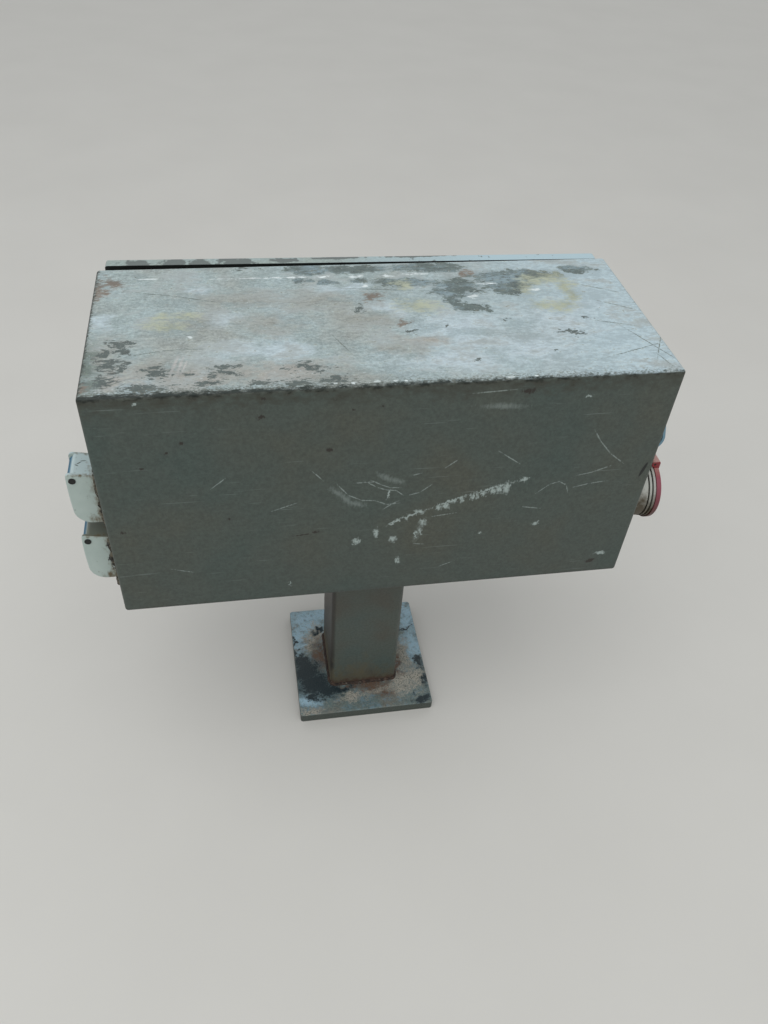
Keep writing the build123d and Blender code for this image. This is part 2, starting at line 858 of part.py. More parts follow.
# Its collar: a ring with two grooves, bonded on, that carries the lid's hinge ear
with BuildPart() as socket_collar:
    with BuildSketch(Plane.XZ):
        with BuildLine():
            Polyline(
                (groove_1[0], 0),
                (groove_1[0], groove_r),
                (groove_1[1], groove_r),
                (groove_1[1], ring_1_r),
                (groove_2[0], ring_1_r),
                (groove_2[0], groove_r),
                (groove_2[1], groove_r),
                (groove_2[1], ring_2_r),
                (mouth, ring_2_r),
                (mouth, 0),
                close=True,
            )
        make_face()
    revolve(axis=Axis.X)
    with BuildSketch(Plane.XZ):
        with BuildLine():
            Polyline(
                (groove_2[1], ring_2_r - lug_r),
                (lug_x - lug_r, lug_z),
                (mouth, lug_z),
                (mouth, ring_2_r - lug_r),
                close=True,
            )
        make_face()
        with Locations((lug_x, lug_z)):
            Circle(lug_r)
    extrude(amount=ear_w / 2, both=True)
    add(socket_bore.part, mode=Mode.SUBTRACT)
    with BuildSketch(Plane.XZ):
        with Locations((lug_x, lug_z)):
            Circle(lid_pin_r + play)
    extrude(amount=lug_w, both=True, mode=Mode.SUBTRACT)
save(socket_collar.part, "socket_collar", on_socket)

with BuildPart() as socket_seal:
    with BuildSketch(Plane.YZ):
        RectangleRounded(socket_flange, socket_flange, socket_flange_corner)
        Circle(tube_r + wall_play, mode=Mode.SUBTRACT)
        with GridLocations(2 * socket_screw_at, 2 * socket_screw_at, 2, 2):
            Circle(socket_screw_r + screw_play, mode=Mode.SUBTRACT)
    extrude(amount=socket_seal_t)
save(Part() + at_every_outlet(outlet_seal.part) + [on_socket * socket_seal.part], "wall_seals")

# Contact carrier with a ring of deep holes, and the sleeves in them
with BuildPart() as contact_carrier:
    with BuildSketch(Plane.YZ.offset(carrier_back)):
        Circle(carrier_r)
        with PolarLocations(sleeve_ring_r, sleeve_count, start_angle=-90):
            Circle(sleeve_r + carrier_play, mode=Mode.SUBTRACT)
    extrude(amount=carrier_front - carrier_back)
save(contact_carrier.part, "contact_carrier", on_socket)

with BuildPart() as contact_sleeves:
    with BuildSketch(Plane.YZ.offset(carrier_back)):
        with PolarLocations(sleeve_ring_r, sleeve_count, start_angle=-90):
            Circle(sleeve_r)
            Circle(sleeve_bore_r, mode=Mode.SUBTRACT)
    extrude(amount=carrier_front - sleeve_sink - carrier_back)
save(contact_sleeves.part, "contact_sleeves", on_socket)

# Lid with a hollow back, two hinge lugs at its top and a finger tab below
with BuildPart() as socket_lid:
    with BuildSketch(Plane.YZ.offset(lid_back)):
        Circle(lid_r)
    extrude(amount=lid_t)
    with BuildSketch(Plane.YZ.offset(lid_back)):
        with Locations((0, -lid_r)):
            RectangleRounded(tab_w, 2 * tab_len, tab_corner)
    extrude(amount=lid_t / 2)
    fillet(socket_lid.faces().sort_by(Axis.X)[-1].edges(), lid_edge)
    with BuildSketch(Plane.YZ.offset(lid_front)):
        Circle(lid_boss_r)
    extrude(amount=lid_boss_t)
    with BuildSketch(Plane.YZ.offset(lid_back)):
        Circle(lid_hollow_r)
    extrude(amount=lid_hollow_d, mode=Mode.SUBTRACT)
    with BuildSketch(Plane.XZ):
        with BuildLine():
            Polyline(
                (lid_back, lid_r - lid_edge),
                (lid_back, lug_z),
                (lug_x, lug_z + lug_r),
                (lid_front - lid_edge / 2, lug_z + lug_r),
                (lid_front, lug_z + lug_r - lid_edge),
                (lid_front, lid_r - 2 * lid_edge - lug_r),
                (lid_front - lid_edge, lid_r - 2 * lid_edge - lug_r),
                close=True,
            )
        make_face()
        with Locations((lug_x, lug_z)):
            Circle(lug_r)
    extrude(amount=lug_w / 2, both=True)
    with BuildSketch(Plane.XZ):
        with Locations((lug_x, lug_z)):
            Circle(lug_r + lug_play)
    extrude(amount=lug_inner, both=True, mode=Mode.SUBTRACT)
    with BuildSketch(Plane.XZ):
        with Locations((lug_x, lug_z)):
            Circle(lid_pin_r + play)
    extrude(amount=lug_w, both=True, mode=Mode.SUBTRACT)
save(socket_lid.part, "socket_lid", on_socket)

with BuildPart() as socket_pin:
    with BuildSketch(Plane.XZ):
        with Locations((lug_x, lug_z)):
            Circle(lid_pin_r)
    extrude(amount=lug_w / 2, both=True)
save(socket_pin.part, "socket_pin", on_socket)

spring_room = lug_inner - ear_w / 2
socket_spring = Location((0, lug_inner - spring_room / 2, 0)) * coil_spring(
    lug_x, lug_z, lid_pin_r + play, spring_wire, spring_coils - 2, lid_spring_w
)
save(Part() + at_every_outlet(outlet_spring) + [on_socket * socket_spring], "lid_springs")

with BuildPart() as socket_screws:
    with BuildSketch(Plane.YZ.offset(socket_seal_t + socket_flange_t)):
        with GridLocations(2 * socket_screw_at, 2 * socket_screw_at, 2, 2):
            Circle(small_head_r)
    extrude(amount=small_head_h)
    with BuildSketch(Plane.YZ.offset(socket_seal_t + socket_flange_t)):
        with GridLocations(2 * socket_screw_at, 2 * socket_screw_at, 2, 2):
            Circle(socket_screw_r)
    extrude(amount=-(socket_seal_t + socket_flange_t + 2 * sheet))
save(socket_screws.part, "socket_screws", on_socket)

# Cable gland through the floor, and its locknut inside
with BuildPart() as cable_gland:
    with BuildSketch(Plane.XY.offset(stand_height)):
        with Locations((gland_x, gland_y)):
            RegularPolygon(hexagon(gland_across), 6)
    extrude(amount=-gland_hex_h)
    with BuildSketch(Plane.XY.offset(stand_height - gland_hex_h)):
        with Locations((gland_x, gland_y)):
            Circle(gland_cap_across / 2)
    extrude(amount=-gland_cap_h)
    fillet(cable_gland.faces().sort_by(Axis.Z)[0].edges(), gland_cap_edge)
    with BuildSketch(Plane.XY.offset(stand_height)):
        with Locations((gland_x, gland_y)):
            Circle(gland_r)
    extrude(amount=sheet + gland_nut_h + bolt_tail)
    with BuildSketch(Plane.XY.offset(stand_height - gland_hex_h - gland_cap_h)):
        with Locations((gland_x, gland_y)):
            Circle(gland_bore_r)
    extrude(amount=box_h / 2, mode=Mode.SUBTRACT)
save(cable_gland.part, "cable_gland")

with BuildPart() as gland_nut:
    with BuildSketch(Plane.XY.offset(stand_height + sheet)):
        with Locations((gland_x, gland_y)):
            RegularPolygon(hexagon(gland_nut_across), 6)
            Circle(gland_r + thread_play, mode=Mode.SUBTRACT)
    extrude(amount=gland_nut_h)
save(gland_nut.part, "gland_nut")

# Mounting plate, its spacers on welded studs, and the nuts
tray_places = [
    (x, box_mid + z) for x in (-tray_hole_x, tray_hole_x) for z in (-tray_hole_z, tray_hole_z)
]
pillar_places = [
    (x, box_mid + z) for x in (-pillar_x, pillar_x) for z in (-pillar_z, pillar_z)
]
with BuildPart() as mounting_plate:
    with BuildSketch(Plane.XZ.offset(-tray_y)):
        with Locations((0, box_mid)):
            RectangleRounded(tray_w, tray_h, tray_corner)
        with Locations(*tray_places):
            Circle(stud_r + stud_play, mode=Mode.SUBTRACT)
    extrude(amount=tray_t)
save(mounting_plate.part, "mounting_plate")

with BuildPart() as tray_spacers:
    with BuildSketch(Plane.XZ.offset(-back_inner_y)):
        with Locations(*tray_places):
            Circle(spacer_r)
    extrude(amount=tray_stand)
    with BuildSketch(Plane.XZ.offset(-tray_y)):
        with Locations(*tray_places):
            Circle(stud_r)
    extrude(amount=tray_t + tray_nut_h + stud_tail)
save(tray_spacers.part, "tray_spacers")

with BuildPart() as tray_nuts:
    with BuildSketch(Plane.XZ.offset(-tray_front_y)):
        with Locations(*tray_places):
            RegularPolygon(hexagon(tray_nut_across), 6)
            Circle(stud_r + thread_play, mode=Mode.SUBTRACT)
    extrude(amount=tray_nut_h)

# Mounting rail: a top-hat strip
with BuildPart() as rail:
    with BuildSketch(Plane.YZ.offset(-rail_len / 2)):
        with BuildLine():
            half, base = rail_w / 2, rail_base_w / 2
            Polyline(
                (rail_y, rail_z - half),
                (rail_y, rail_z - base + rail_t),
                (tray_front_y - rail_t, rail_z - base + rail_t),
                (tray_front_y - rail_t, rail_z + base - rail_t),
                (rail_y, rail_z + base - rail_t),
                (rail_y, rail_z + half),
                (rail_y + rail_t, rail_z + half),
                (rail_y + rail_t, rail_z + base),
                (tray_front_y, rail_z + base),
                (tray_front_y, rail_z - base),
                (rail_y + rail_t, rail_z - base),
                (rail_y + rail_t, rail_z - half),
                close=True,
            )
        make_face()
    extrude(amount=rail_len)
save(rail.part, "rail")

toggle_y = device_y - device_front + toggle_sink


def device(start, modules, toggle_at, toggle_w, button_at=None):
    """A rail device: stepped case with terminals, a slot for its toggle and a rail notch."""
    wide = modules * module - module_play
    with BuildPart() as case:
        with BuildSketch(Plane.YZ.offset(start + module_play / 2)):
            with BuildLine():
                back = device_y + device_back
                shoulder = device_y - device_shoulder
                nose = device_y - device_front
                tall, nose_tall = device_h / 2, device_nose_h / 2
                notch = rail_w / 2 + device_seat
                Polyline(
                    (back, rail_z + tall),
                    (shoulder, rail_z + tall),
                    (shoulder, rail_z + nose_tall),
                    (nose, rail_z + nose_tall),
                    (nose, rail_z - nose_tall),
                    (shoulder, rail_z - nose_tall),
                    (shoulder, rail_z - tall),
                    (back, rail_z - tall),
                    (back, rail_z - notch),
                    (device_y, rail_z - notch),
                    (device_y, rail_z + notch),
                    (back, rail_z + notch),
                    close=True,
                )
            make_face()
        extrude(amount=wide)
        with BuildSketch(Plane.YZ.offset(toggle_at - toggle_w / 2 - toggle_side_play)):
            with Locations((toggle_y, rail_z)):
                Circle(toggle_r + toggle_play)
        extrude(amount=toggle_w + 2 * toggle_side_play, mode=Mode.SUBTRACT)
        with BuildSketch(Plane.XZ.offset(device_shoulder - device_y)):
            for pole in range(modules):
                x = start + (pole + 0.5) * module
                with Locations((x, rail_z + terminal_z), (x, rail_z - terminal_z)):
                    Circle(terminal_r)
        extrude(amount=-terminal_depth, mode=Mode.SUBTRACT)
        if button_at is not None:
            room = button_side + 2 * button_play
            with BuildSketch(Plane.XZ.offset(device_front - device_y)):
                with Locations((button_at, rail_z)):
                    Rectangle(room, room)
            extrude(amount=-(button_len + button_play), mode=Mode.SUBTRACT)
    return case.part


def toggle(at, wide):
    """A device's toggle: a hub across its slot with a lever, up when it is on."""
    with BuildPart() as lever:
        with BuildSketch(Plane.YZ.offset(at - wide / 2)):
            with Locations((toggle_y, rail_z)):
                Circle(toggle_r)
            with Locations(Location((toggle_y, rail_z, 0), (0, 0, 180 - toggle_throw))):
                Rectangle(toggle_len, toggle_t, align=(Align.MIN, Align.CENTER))
        extrude(amount=wide)
    return lever.part


# Residual current device, then the socket's breaker and one breaker for each outlet
rcd_at = device_start + rcd_toggle_along * module
button_at = device_start + rcd_button_along * module
main_start = device_start + rcd_pole_count * module
single_start = main_start + main_pole_count * module
rcd_case = device(device_start, rcd_pole_count, rcd_at, rcd_toggle_w, button_at)
save(rcd_case, "residual_current_device")
save(toggle(rcd_at, rcd_toggle_w), "rcd_toggle")

with BuildPart() as test_button:
    with BuildSketch(Plane.XZ.offset(device_front + button_proud - device_y)):
        with Locations((button_at, rail_z)):
            RectangleRounded(button_side, button_side, button_corner)
    extrude(amount=-(button_len + button_proud - button_travel))
save(test_button.part, "test_button")

main_mid = main_start + main_pole_count * module / 2
main_toggle_w = (main_pole_count - 1) * module + single_toggle_w
save(device(main_start, main_pole_count, main_mid, main_toggle_w), "socket_breaker")
save(toggle(main_mid, main_toggle_w), "socket_breaker_toggle")
for number in range(single_count):
    left = single_start + number * module
    middle = left + module / 2
    save(device(left, 1, middle, single_toggle_w), f"outlet_breaker_{number + 1}")
    save(toggle(middle, single_toggle_w), f"outlet_breaker_toggle_{number + 1}")

# Comb busbar: a strip with a tooth up to each pole of the breakers
with BuildPart() as comb_busbar:
    poles = main_pole_count + single_count
    comb_top = rail_z - device_h / 2
    comb_y = device_y - comb_from_rail
    with BuildSketch(Plane.XZ.offset(-comb_y)):
        with Locations((main_start + poles * module / 2, comb_top - tooth_h)):
            Rectangle(poles * module - 2 * comb_end, comb_h, align=(Align.CENTER, Align.MAX))
        for pole in range(poles):
            with Locations((main_start + (pole + 0.5) * module, comb_top)):
                Rectangle(tooth_w, 2 * tooth_h, align=(Align.CENTER, Align.MAX))
    extrude(amount=comb_t)
save(comb_busbar.part, "comb_busbar")

# Neutral and earth bars on moulded feet, with a screw at each hole
bar_z = rail_z - device_h / 2 - bar_below_devices
bar_back_y = tray_front_y - bar_foot_h
hole_pitch = (bar_len - 2 * bar_foot_w) / (bar_holes - 1)
bar_places = {"neutral_bar": neutral_x, "earth_bar": earth_x}
for name, middle in bar_places.items():
    with BuildPart() as bar:
        with BuildSketch(Plane.XZ.offset(-bar_back_y)):
            with Locations((middle, bar_z)):
                Rectangle(bar_len, bar_side)
        extrude(amount=bar_side)
        with BuildSketch(Plane.XY.offset(bar_z - bar_side / 2)):
            with Locations((middle, bar_back_y - bar_side / 2)):
                with GridLocations(hole_pitch, 1, bar_holes, 1):
                    Circle(bar_hole_r)
        extrude(amount=bar_side, mode=Mode.SUBTRACT)
    save(bar.part, name)

with BuildPart() as bar_screws:
    with BuildSketch(Plane.XZ.offset(bar_side - bar_back_y)):
        for middle in bar_places.values():
            with Locations((middle, bar_z)):
                with GridLocations(hole_pitch, 1, bar_holes, 1):
                    Circle(bar_screw_r)
    extrude(amount=small_head_h)
save(Part() + [tray_nuts.part, bar_screws.part], "tray_fixings")

with BuildPart() as bar_feet:
    with BuildSketch(Plane.XZ.offset(-tray_front_y)):
        for middle in bar_places.values():
            half = (bar_len - bar_end) / 2
            with Locations((middle - half, bar_z), (middle + half, bar_z)):
                RectangleRounded(bar_foot_w, bar_side + 2 * bar_foot_lip, bar_foot_corner)
    extrude(amount=bar_foot_h)
save(bar_feet.part, "bar_feet")

# Inlet terminal block above the gland
with BuildPart() as inlet_terminals:
    with BuildSketch(Plane.XZ.offset(-tray_front_y)):
        with Locations((inlet_x, bar_z)):
            Rectangle(inlet_poles * inlet_pitch, inlet_h)
    extrude(amount=inlet_d)
    chamfer(inlet_terminals.edges().filter_by(Axis.X).sort_by(Axis.Y)[:2], inlet_slope)
    with BuildSketch(Plane.XZ.offset(inlet_d - tray_front_y)):
        with Locations((inlet_x, bar_z)):
            with GridLocations(inlet_pitch, inlet_h / 2, inlet_poles, 2):
                Circle(inlet_screw_r)
    extrude(amount=-terminal_depth, mode=Mode.SUBTRACT)
    with BuildSketch(Plane.XZ.offset(inlet_d - tray_front_y)):
        with Locations((inlet_x, bar_z)):
            with GridLocations(inlet_pitch, 1, inlet_poles - 1, 1):
                Rectangle(inlet_groove_w, inlet_h)
    extrude(amount=-inlet_groove_d, mode=Mode.SUBTRACT)
save(inlet_terminals.part, "inlet_terminals")

# Touch guard: the devices' noses stand through its window
total_modules = rcd_pole_count + main_pole_count + single_count
with BuildPart() as touch_guard:
    with BuildSketch(Plane.XZ.offset(-guard_y)):
        with Locations((0, box_mid)):
            RectangleRounded(guard_w, guard_h, guard_corner)
        with Locations((device_start + total_modules * module / 2, rail_z)):
            slot_w = total_modules * module + 2 * guard_hole_play
            Rectangle(slot_w, device_nose_h + 2 * guard_hole_play, mode=Mode.SUBTRACT)
        with Locations(*pillar_places):
            Circle(stud_r + stud_play, mode=Mode.SUBTRACT)
    extrude(amount=guard_t)
save(touch_guard.part, "touch_guard")

with BuildPart() as guard_pillars:
    with BuildSketch(Plane.XZ.offset(-tray_front_y)):
        with Locations(*pillar_places):
            Circle(pillar_r)
    extrude(amount=tray_front_y - guard_y)
    with BuildSketch(Plane.XZ.offset(-guard_y)):
        with Locations(*pillar_places):
            Circle(stud_r)
    extrude(amount=guard_t)
    with BuildSketch(Plane.XZ.offset(guard_t - guard_y)):
        with Locations(*pillar_places):
            Circle(guard_head_r)
    extrude(amount=guard_head_h)
save(guard_pillars.part, "guard_pillars")
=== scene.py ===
import math

import bpy
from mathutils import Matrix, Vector


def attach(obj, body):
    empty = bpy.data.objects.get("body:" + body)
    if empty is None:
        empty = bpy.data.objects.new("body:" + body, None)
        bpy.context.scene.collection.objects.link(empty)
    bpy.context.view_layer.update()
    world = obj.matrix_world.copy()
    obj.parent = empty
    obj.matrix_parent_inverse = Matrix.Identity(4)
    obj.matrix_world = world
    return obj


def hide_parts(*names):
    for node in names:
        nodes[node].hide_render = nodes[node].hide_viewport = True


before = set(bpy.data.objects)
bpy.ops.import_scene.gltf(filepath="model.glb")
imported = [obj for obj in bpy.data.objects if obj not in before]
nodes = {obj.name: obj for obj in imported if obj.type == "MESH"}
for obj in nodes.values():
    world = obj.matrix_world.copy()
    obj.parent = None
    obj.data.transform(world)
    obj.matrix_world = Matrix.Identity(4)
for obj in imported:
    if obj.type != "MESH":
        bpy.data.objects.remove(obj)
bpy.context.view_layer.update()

# The viewpoint: below eye height, standing behind the board and looking down at it, a little
# to one side of its middle. Its place, turn in degrees and lens were solved from the board.
eye_place = (0.1523, 0.7879, 1.0924)
eye_turn = (46.396, -3.342, 170.6332)
bpy.ops.object.camera_add(location=eye_place)
eye = bpy.context.object
eye.rotation_euler = [math.radians(turn) for turn in eye_turn]
eye.data.lens = 29.3627
eye.data.sensor_width = 36
bpy.context.scene.camera = eye


# The stand's base plate: a 15 mm steel plate, flame-cut and brushed with machine enamel.
# Its top is pale blue in patches, partly faded enamel and partly a painted sky reflection, is
# burnt black at one corner by the welding, and holds dry mud and rust round the post. Its cut
# edges still have the dark green-grey of the first coat.
def tone(code):
    """An sRGB hex colour as the linear colour that a shader takes."""
    parts = [int(code[i:i + 2], 16) / 255 for i in (1, 3, 5)]
    return [c / 12.92 if c <= 0.04045 else ((c + 0.055) / 1.055) ** 2.4 for c in parts] + [1]


def put(tree, kind, links=None, **settings):
    """Adds a node with its settings. A link is a node, one of its sockets or a plain value."""
    made = tree.nodes.new(kind)
    for name, value in settings.items():
        setattr(made, name, value)
    for name, value in (links or {}).items():
        if isinstance(value, bpy.types.Node):
            value = value.outputs[0]
        if isinstance(value, bpy.types.NodeSocket):
            tree.links.new(value, made.inputs[name])
        else:
            made.inputs[name].default_value = value
    return made


def new_finish(name):
    """A new material, its node tree, and the point on the piece in millimetres."""
    finish = bpy.data.materials.new(name)
    finish.use_nodes = True
    tree = finish.node_tree
    tree.nodes.remove(tree.nodes["Principled BSDF"])
    place = put(tree, "ShaderNodeTexCoord")
    mm = put(tree, "ShaderNodeVectorMath", {0: place.outputs["Object"], "Scale": 1000},
             operation="SCALE")
    return finish, tree, mm


def oval_marks(tree, mm, places):
    """Soft oval marks, 1 in their middle and 0 at their rim: centre, half sizes and turn."""
    strongest = None
    for centre, size, turn in places:
        oval = put(tree, "ShaderNodeMapping", {"Vector": mm, "Location": centre, "Rotation": turn,
                                               "Scale": size}, vector_type="TEXTURE")
        one = put(tree, "ShaderNodeTexGradient", {"Vector": oval}, gradient_type="SPHERICAL")
        one = one.outputs["Fac"]
        if strongest is None:
            strongest = one
        else:
            strongest = put(tree, "ShaderNodeMath", {0: strongest, 1: one}, operation="MAXIMUM")
    return strongest


def flat_ovals(places, level, depth=6):
    """Marks on a level face: x, y, half length, half width and degrees, in millimetres."""
    return [((x, y, level), (long, wide, depth), (0, 0, math.radians(turn)))
            for x, y, long, wide, turn in places]


def grain(tree, mm, size, pull=(1, 1, 1), detail=7, roughness=0.62):
    """A noise with patches of about that size in millimetres, pulled long where pull is low."""
    pulled = put(tree, "ShaderNodeVectorMath", {0: mm, 1: pull}, operation="MULTIPLY")
    return put(tree, "ShaderNodeTexNoise", {"Vector": pulled, "Scale": 1 / size, "Detail": detail,
                                            "Roughness": roughness})


def strayed(tree, mm, size, reach):
    """The same points pushed about by a noise, so that oval marks get ragged outlines."""
    push = put(tree, "ShaderNodeTexNoise", {"Vector": mm, "Scale": 1 / size, "Detail": 5,
                                            "Roughness": 0.6})
    push = put(tree, "ShaderNodeVectorMath", {0: push.outputs["Color"], 1: (0.5, 0.5, 0.5)},
               operation="SUBTRACT")
    return put(tree, "ShaderNodeVectorMath", {0: push, 1: reach, 2: mm}, operation="MULTIPLY_ADD")


def fade(tree, mm, axis, start, end, at_start=0.0, at_end=1.0):
    """A mark that comes up evenly between two places along an axis, in millimetres."""
    place = put(tree, "ShaderNodeSeparateXYZ", {"Vector": mm}).outputs[axis]
    return put(tree, "ShaderNodeMapRange", {"Value": place, "From Min": start, "From Max": end,
                                            "To Min": at_start, "To Max": at_end})


def flakes(tree, zone, noise, reach, low, high):
    """A zone broken up by a noise, which counts for less the nearer the zone's middle is."""
    near = put(tree, "ShaderNodeMath", {0: zone, 1: reach, 2: noise}, operation="MULTIPLY_ADD")
    return put(tree, "ShaderNodeMapRange", {"Value": near, "From Min": low, "From Max": high})


def enamel(tree, mm, plain, warm, cool, span=90):
    """Old enamel: it drifts warmer and cooler over a hand's width and holds specks of dust."""
    drift = put(tree, "ShaderNodeTexNoise", {"Vector": mm, "Scale": 1 / span, "Detail": 4})
    warmer = put(tree, "ShaderNodeMapRange", {"Value": drift, "From Min": 0.5, "From Max": 0.68})
    cooler = put(tree, "ShaderNodeMapRange", {"Value": drift, "From Min": 0.48, "From Max": 0.32})
    shade = put(tree, "ShaderNodeMixRGB", {"Fac": warmer, "Color1": tone(plain), "Color2": tone(warm)})
    shade = put(tree, "ShaderNodeMixRGB", {"Fac": cooler, "Color1": shade, "Color2": tone(cool)})
    dust = put(tree, "ShaderNodeTexNoise", {"Vector": mm, "Scale": 0.3, "Detail": 6, "Roughness": 0.75})
    specks = put(tree, "ShaderNodeMapRange", {"Value": dust, "From Min": 0.38, "From Max": 0.62,
                                              "To Min": 0.8, "To Max": 1.2})
    return put(tree, "ShaderNodeVectorMath", {0: shade, "Scale": specks}, operation="SCALE"), dust


def coat(tree, shade, layers):
    """Lays coloured marks over a shade, one after another."""
    for mask, code in layers:
        shade = put(tree, "ShaderNodeMixRGB", {"Fac": mask, "Color1": shade, "Color2": tone(code)})
    return shade


def coat_shader(tree, shade, rough, height, depth, metal=0.0):
    """A surface with that shade, that roughness and a relief of that depth in millimetres."""
    relief = put(tree, "ShaderNodeBump", {"Strength": 1, "Distance": depth / 1000, "Height": height})
    return put(tree, "ShaderNodeBsdfPrincipled", {"Base Color": shade, "Roughness": rough,
                                                  "Normal": relief, "Metallic": metal})


def close_finish(tree, shade, rough, height, depth, metal=0.0):
    """Gives the whole material one such surface."""
    surface = coat_shader(tree, shade, rough, height, depth, metal)
    tree.links.new(surface.outputs[0], tree.nodes["Material Output"].inputs["Surface"])


def dress(names, finish):
    """Gives the CAD nodes of these names a finish."""
    for name in names:
        for slot in nodes[name].material_slots:
            slot.material = finish


plate_level, plate_edge = 15, 13.6
burnt = flat_ovals([(86, 22, 36, 34, 0), (74, 46, 40, 32, 0), (56, 60, 34, 18, 0), (36, 62, 24, 10, 0),
                    (90, 2, 16, 20, 0), (-84, 90, 22, 9, 10), (-95, 58, 8, 14, 0), (58, -58, 14, 7, 30),
                    (-84, -46, 16, 3, 20), (-94, 26, 12, 14, 0), (98, -30, 4, 40, 0), (78, 70, 14, 10, 0)],
                   plate_level)
blue = flat_ovals([(74, -74, 44, 50, 0), (90, -44, 22, 44, 0), (-88, -10, 20, 46, 0), (-92, -70, 22, 50, 0),
                   (88, 76, 30, 14, 0), (-40, -90, 60, 24, 0), (40, -92, 50, 20, 0)], plate_level)
mud = flat_ovals([(72, -32, 20, 26, 0), (62, -50, 16, 30, 0), (-68, 8, 18, 44, 0), (-60, 50, 34, 30, 0),
                  (-24, 68, 46, 14, 0), (-62, 70, 34, 18, 0), (-80, 50, 22, 30, 0), (84, 95, 22, 8, 0),
                  (20, 76, 30, 10, 0)], plate_level)
near_rust = flat_ovals([(60, -10, 14, 44, 0), (20, 58, 34, 12, 0), (-14, 58, 44, 13, 0),
                        (-30, 76, 26, 12, 0), (-58, 20, 8, 40, 0), (40, 60, 20, 10, 0)], plate_level)
plate_enamel, tree, mm = new_finish("faded_blue_and_sheen_plate_enamel")
shade = enamel(tree, mm, "#5F6F6D", "#686B64", "#5A7277", 34)[0]
strewn = strayed(tree, mm, 13, (40, 40, 0))
spread = grain(tree, mm, 9)
crumbs = grain(tree, mm, 2.2)
# Painted sky reflection: the pale blue patches on the top are partly faded enamel and partly a reflection
# of the sky painted into the colour.
faded_blue_and_sky_sheen = flakes(tree, oval_marks(tree, strewn, blue), spread, 0.5, 0.52, 0.8)
scorched = oval_marks(tree, strewn, burnt)
soot = flakes(tree, scorched, spread, 0.5, 0.5, 0.85)
black = flakes(tree, scorched, crumbs, 0.7, 0.66, 0.9)
muddy = flakes(tree, oval_marks(tree, strewn, mud), crumbs, 0.4, 0.52, 0.8)
rusty = flakes(tree, oval_marks(tree, strewn, near_rust), crumbs, 0.5, 0.56, 0.9)
cinders = put(tree, "ShaderNodeMapRange", {"Value": crumbs, "From Min": 0.48, "From Max": 0.4})
cinders = put(tree, "ShaderNodeMath", {0: muddy, 1: cinders}, operation="MULTIPLY")
edge = fade(tree, mm, "Z", plate_edge + 1, plate_edge)
shade = coat(tree, shade, [(faded_blue_and_sky_sheen, "#98B8C7"), (muddy, "#A5A296"), (rusty, "#655041"), (soot, "#425256"),
                           (cinders, "#30322D"), (black, "#18292F"), (edge, "#3E4640")])
rough = put(tree, "ShaderNodeMapRange", {"Value": muddy, "To Min": 0.45, "To Max": 0.9})
close_finish(tree, shade, rough, crumbs, 1.0)
dress(["base_plate"], plate_enamel)

# The post and the plate on its head: cold-formed square tube, 100 mm across, with the same
# dark enamel. The side away from the sun has gone brown and is also painted darker as its shade,
# darkest at its rounded corner, and mud has splashed up its foot.
post_enamel, tree, mm = new_finish("dark_post_enamel")
shade, dust = enamel(tree, mm, "#474F49", "#484840", "#43504C", 60)
# Painted shade: the side away from the light and its rounded corner are darkened as well as browned.
side = fade(tree, mm, "X", 44, 49)
bend = fade(tree, mm, "Y", 30, 44)
bend = put(tree, "ShaderNodeMath", {0: bend, 1: side}, operation="MULTIPLY")
high = fade(tree, mm, "Z", 150, 305)
low = fade(tree, mm, "Z", 95, 10)
splash = flakes(tree, low, grain(tree, mm, 11, (1, 1, 0.6)), 0.5, 0.65, 1.0)
foot_rust = fade(tree, mm, "Z", 34, 14)
foot_rust = flakes(tree, foot_rust, grain(tree, mm, 7), 0.5, 0.65, 0.9)
high = put(tree, "ShaderNodeMath", {0: high, 1: 0.6}, operation="MULTIPLY")
shade = coat(tree, shade, [(high, "#42413A"), (side, "#2B2820"), (bend, "#211F1A"), (splash, "#54503F"),
                           (foot_rust, "#46352A")])
rough = put(tree, "ShaderNodeMapRange", {"Value": splash, "To Min": 0.5, "To Max": 0.9})
close_finish(tree, shade, rough, dust, 0.25)
dress(["post", "head_plate"], post_enamel)


# The welds at the foot and the head of the post: one rough stick-weld bead each, laid by
# hand, never painted properly, and rusted through.
def ring_tube(corner, rounds, cuts, radius, facets):
    """Turns the active plane into a tube along its outline, with round corners."""
    bpy.ops.object.mode_set(mode="EDIT")
    bpy.ops.mesh.bevel(offset=corner, segments=rounds, affect="VERTICES")
    bpy.ops.mesh.delete(type="ONLY_FACE")
    bpy.ops.mesh.subdivide(number_cuts=cuts)
    bpy.ops.object.mode_set(mode="OBJECT")
    bpy.ops.object.convert(target="CURVE")
    tube = bpy.context.object
    tube.data.bevel_depth = radius
    tube.data.bevel_resolution = facets
    bpy.ops.object.convert(target="MESH")
    bpy.ops.object.transform_apply(location=True, rotation=True, scale=True)
    return tube


def fuse_lumps(tube, voxel, texture, strength, middle):
    """Fuses the tube into one skin and makes it lumpy by a texture."""
    fused = tube.modifiers.new("fused", "REMESH")
    fused.mode = "VOXEL"
    fused.voxel_size = voxel
    bpy.ops.object.modifier_apply(modifier="fused")
    lumps = tube.modifiers.new("lumps", "DISPLACE")
    lumps.texture = texture
    lumps.strength = strength
    lumps.mid_level = middle
    bpy.ops.object.modifier_apply(modifier="lumps")
    bpy.ops.object.shade_smooth()


bead_size, bead_radius = 0.101, 0.0034
plate_top, head_foot = 0.0150, 0.3066
bead_ripple = bpy.data.textures.new("bead_ripple", "CLOUDS")
bead_ripple.noise_scale = 0.0045
bead_ripple.noise_depth = 2
beads = []
for name, level in (("foot", plate_top), ("head", head_foot)):
    bpy.ops.object.select_all(action="DESELECT")
    bpy.ops.mesh.primitive_plane_add(size=bead_size, location=(0, 0, level))
    bpy.context.object.name = f"{name}_weld_bead"
    bead = ring_tube(corner=0.008, rounds=5, cuts=10, radius=bead_radius, facets=4)
    fuse_lumps(bead, voxel=0.0012, texture=bead_ripple, strength=0.0028, middle=0.62)
    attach(bead, "cabinet")
    beads.append(bead)
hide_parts("post_welds")

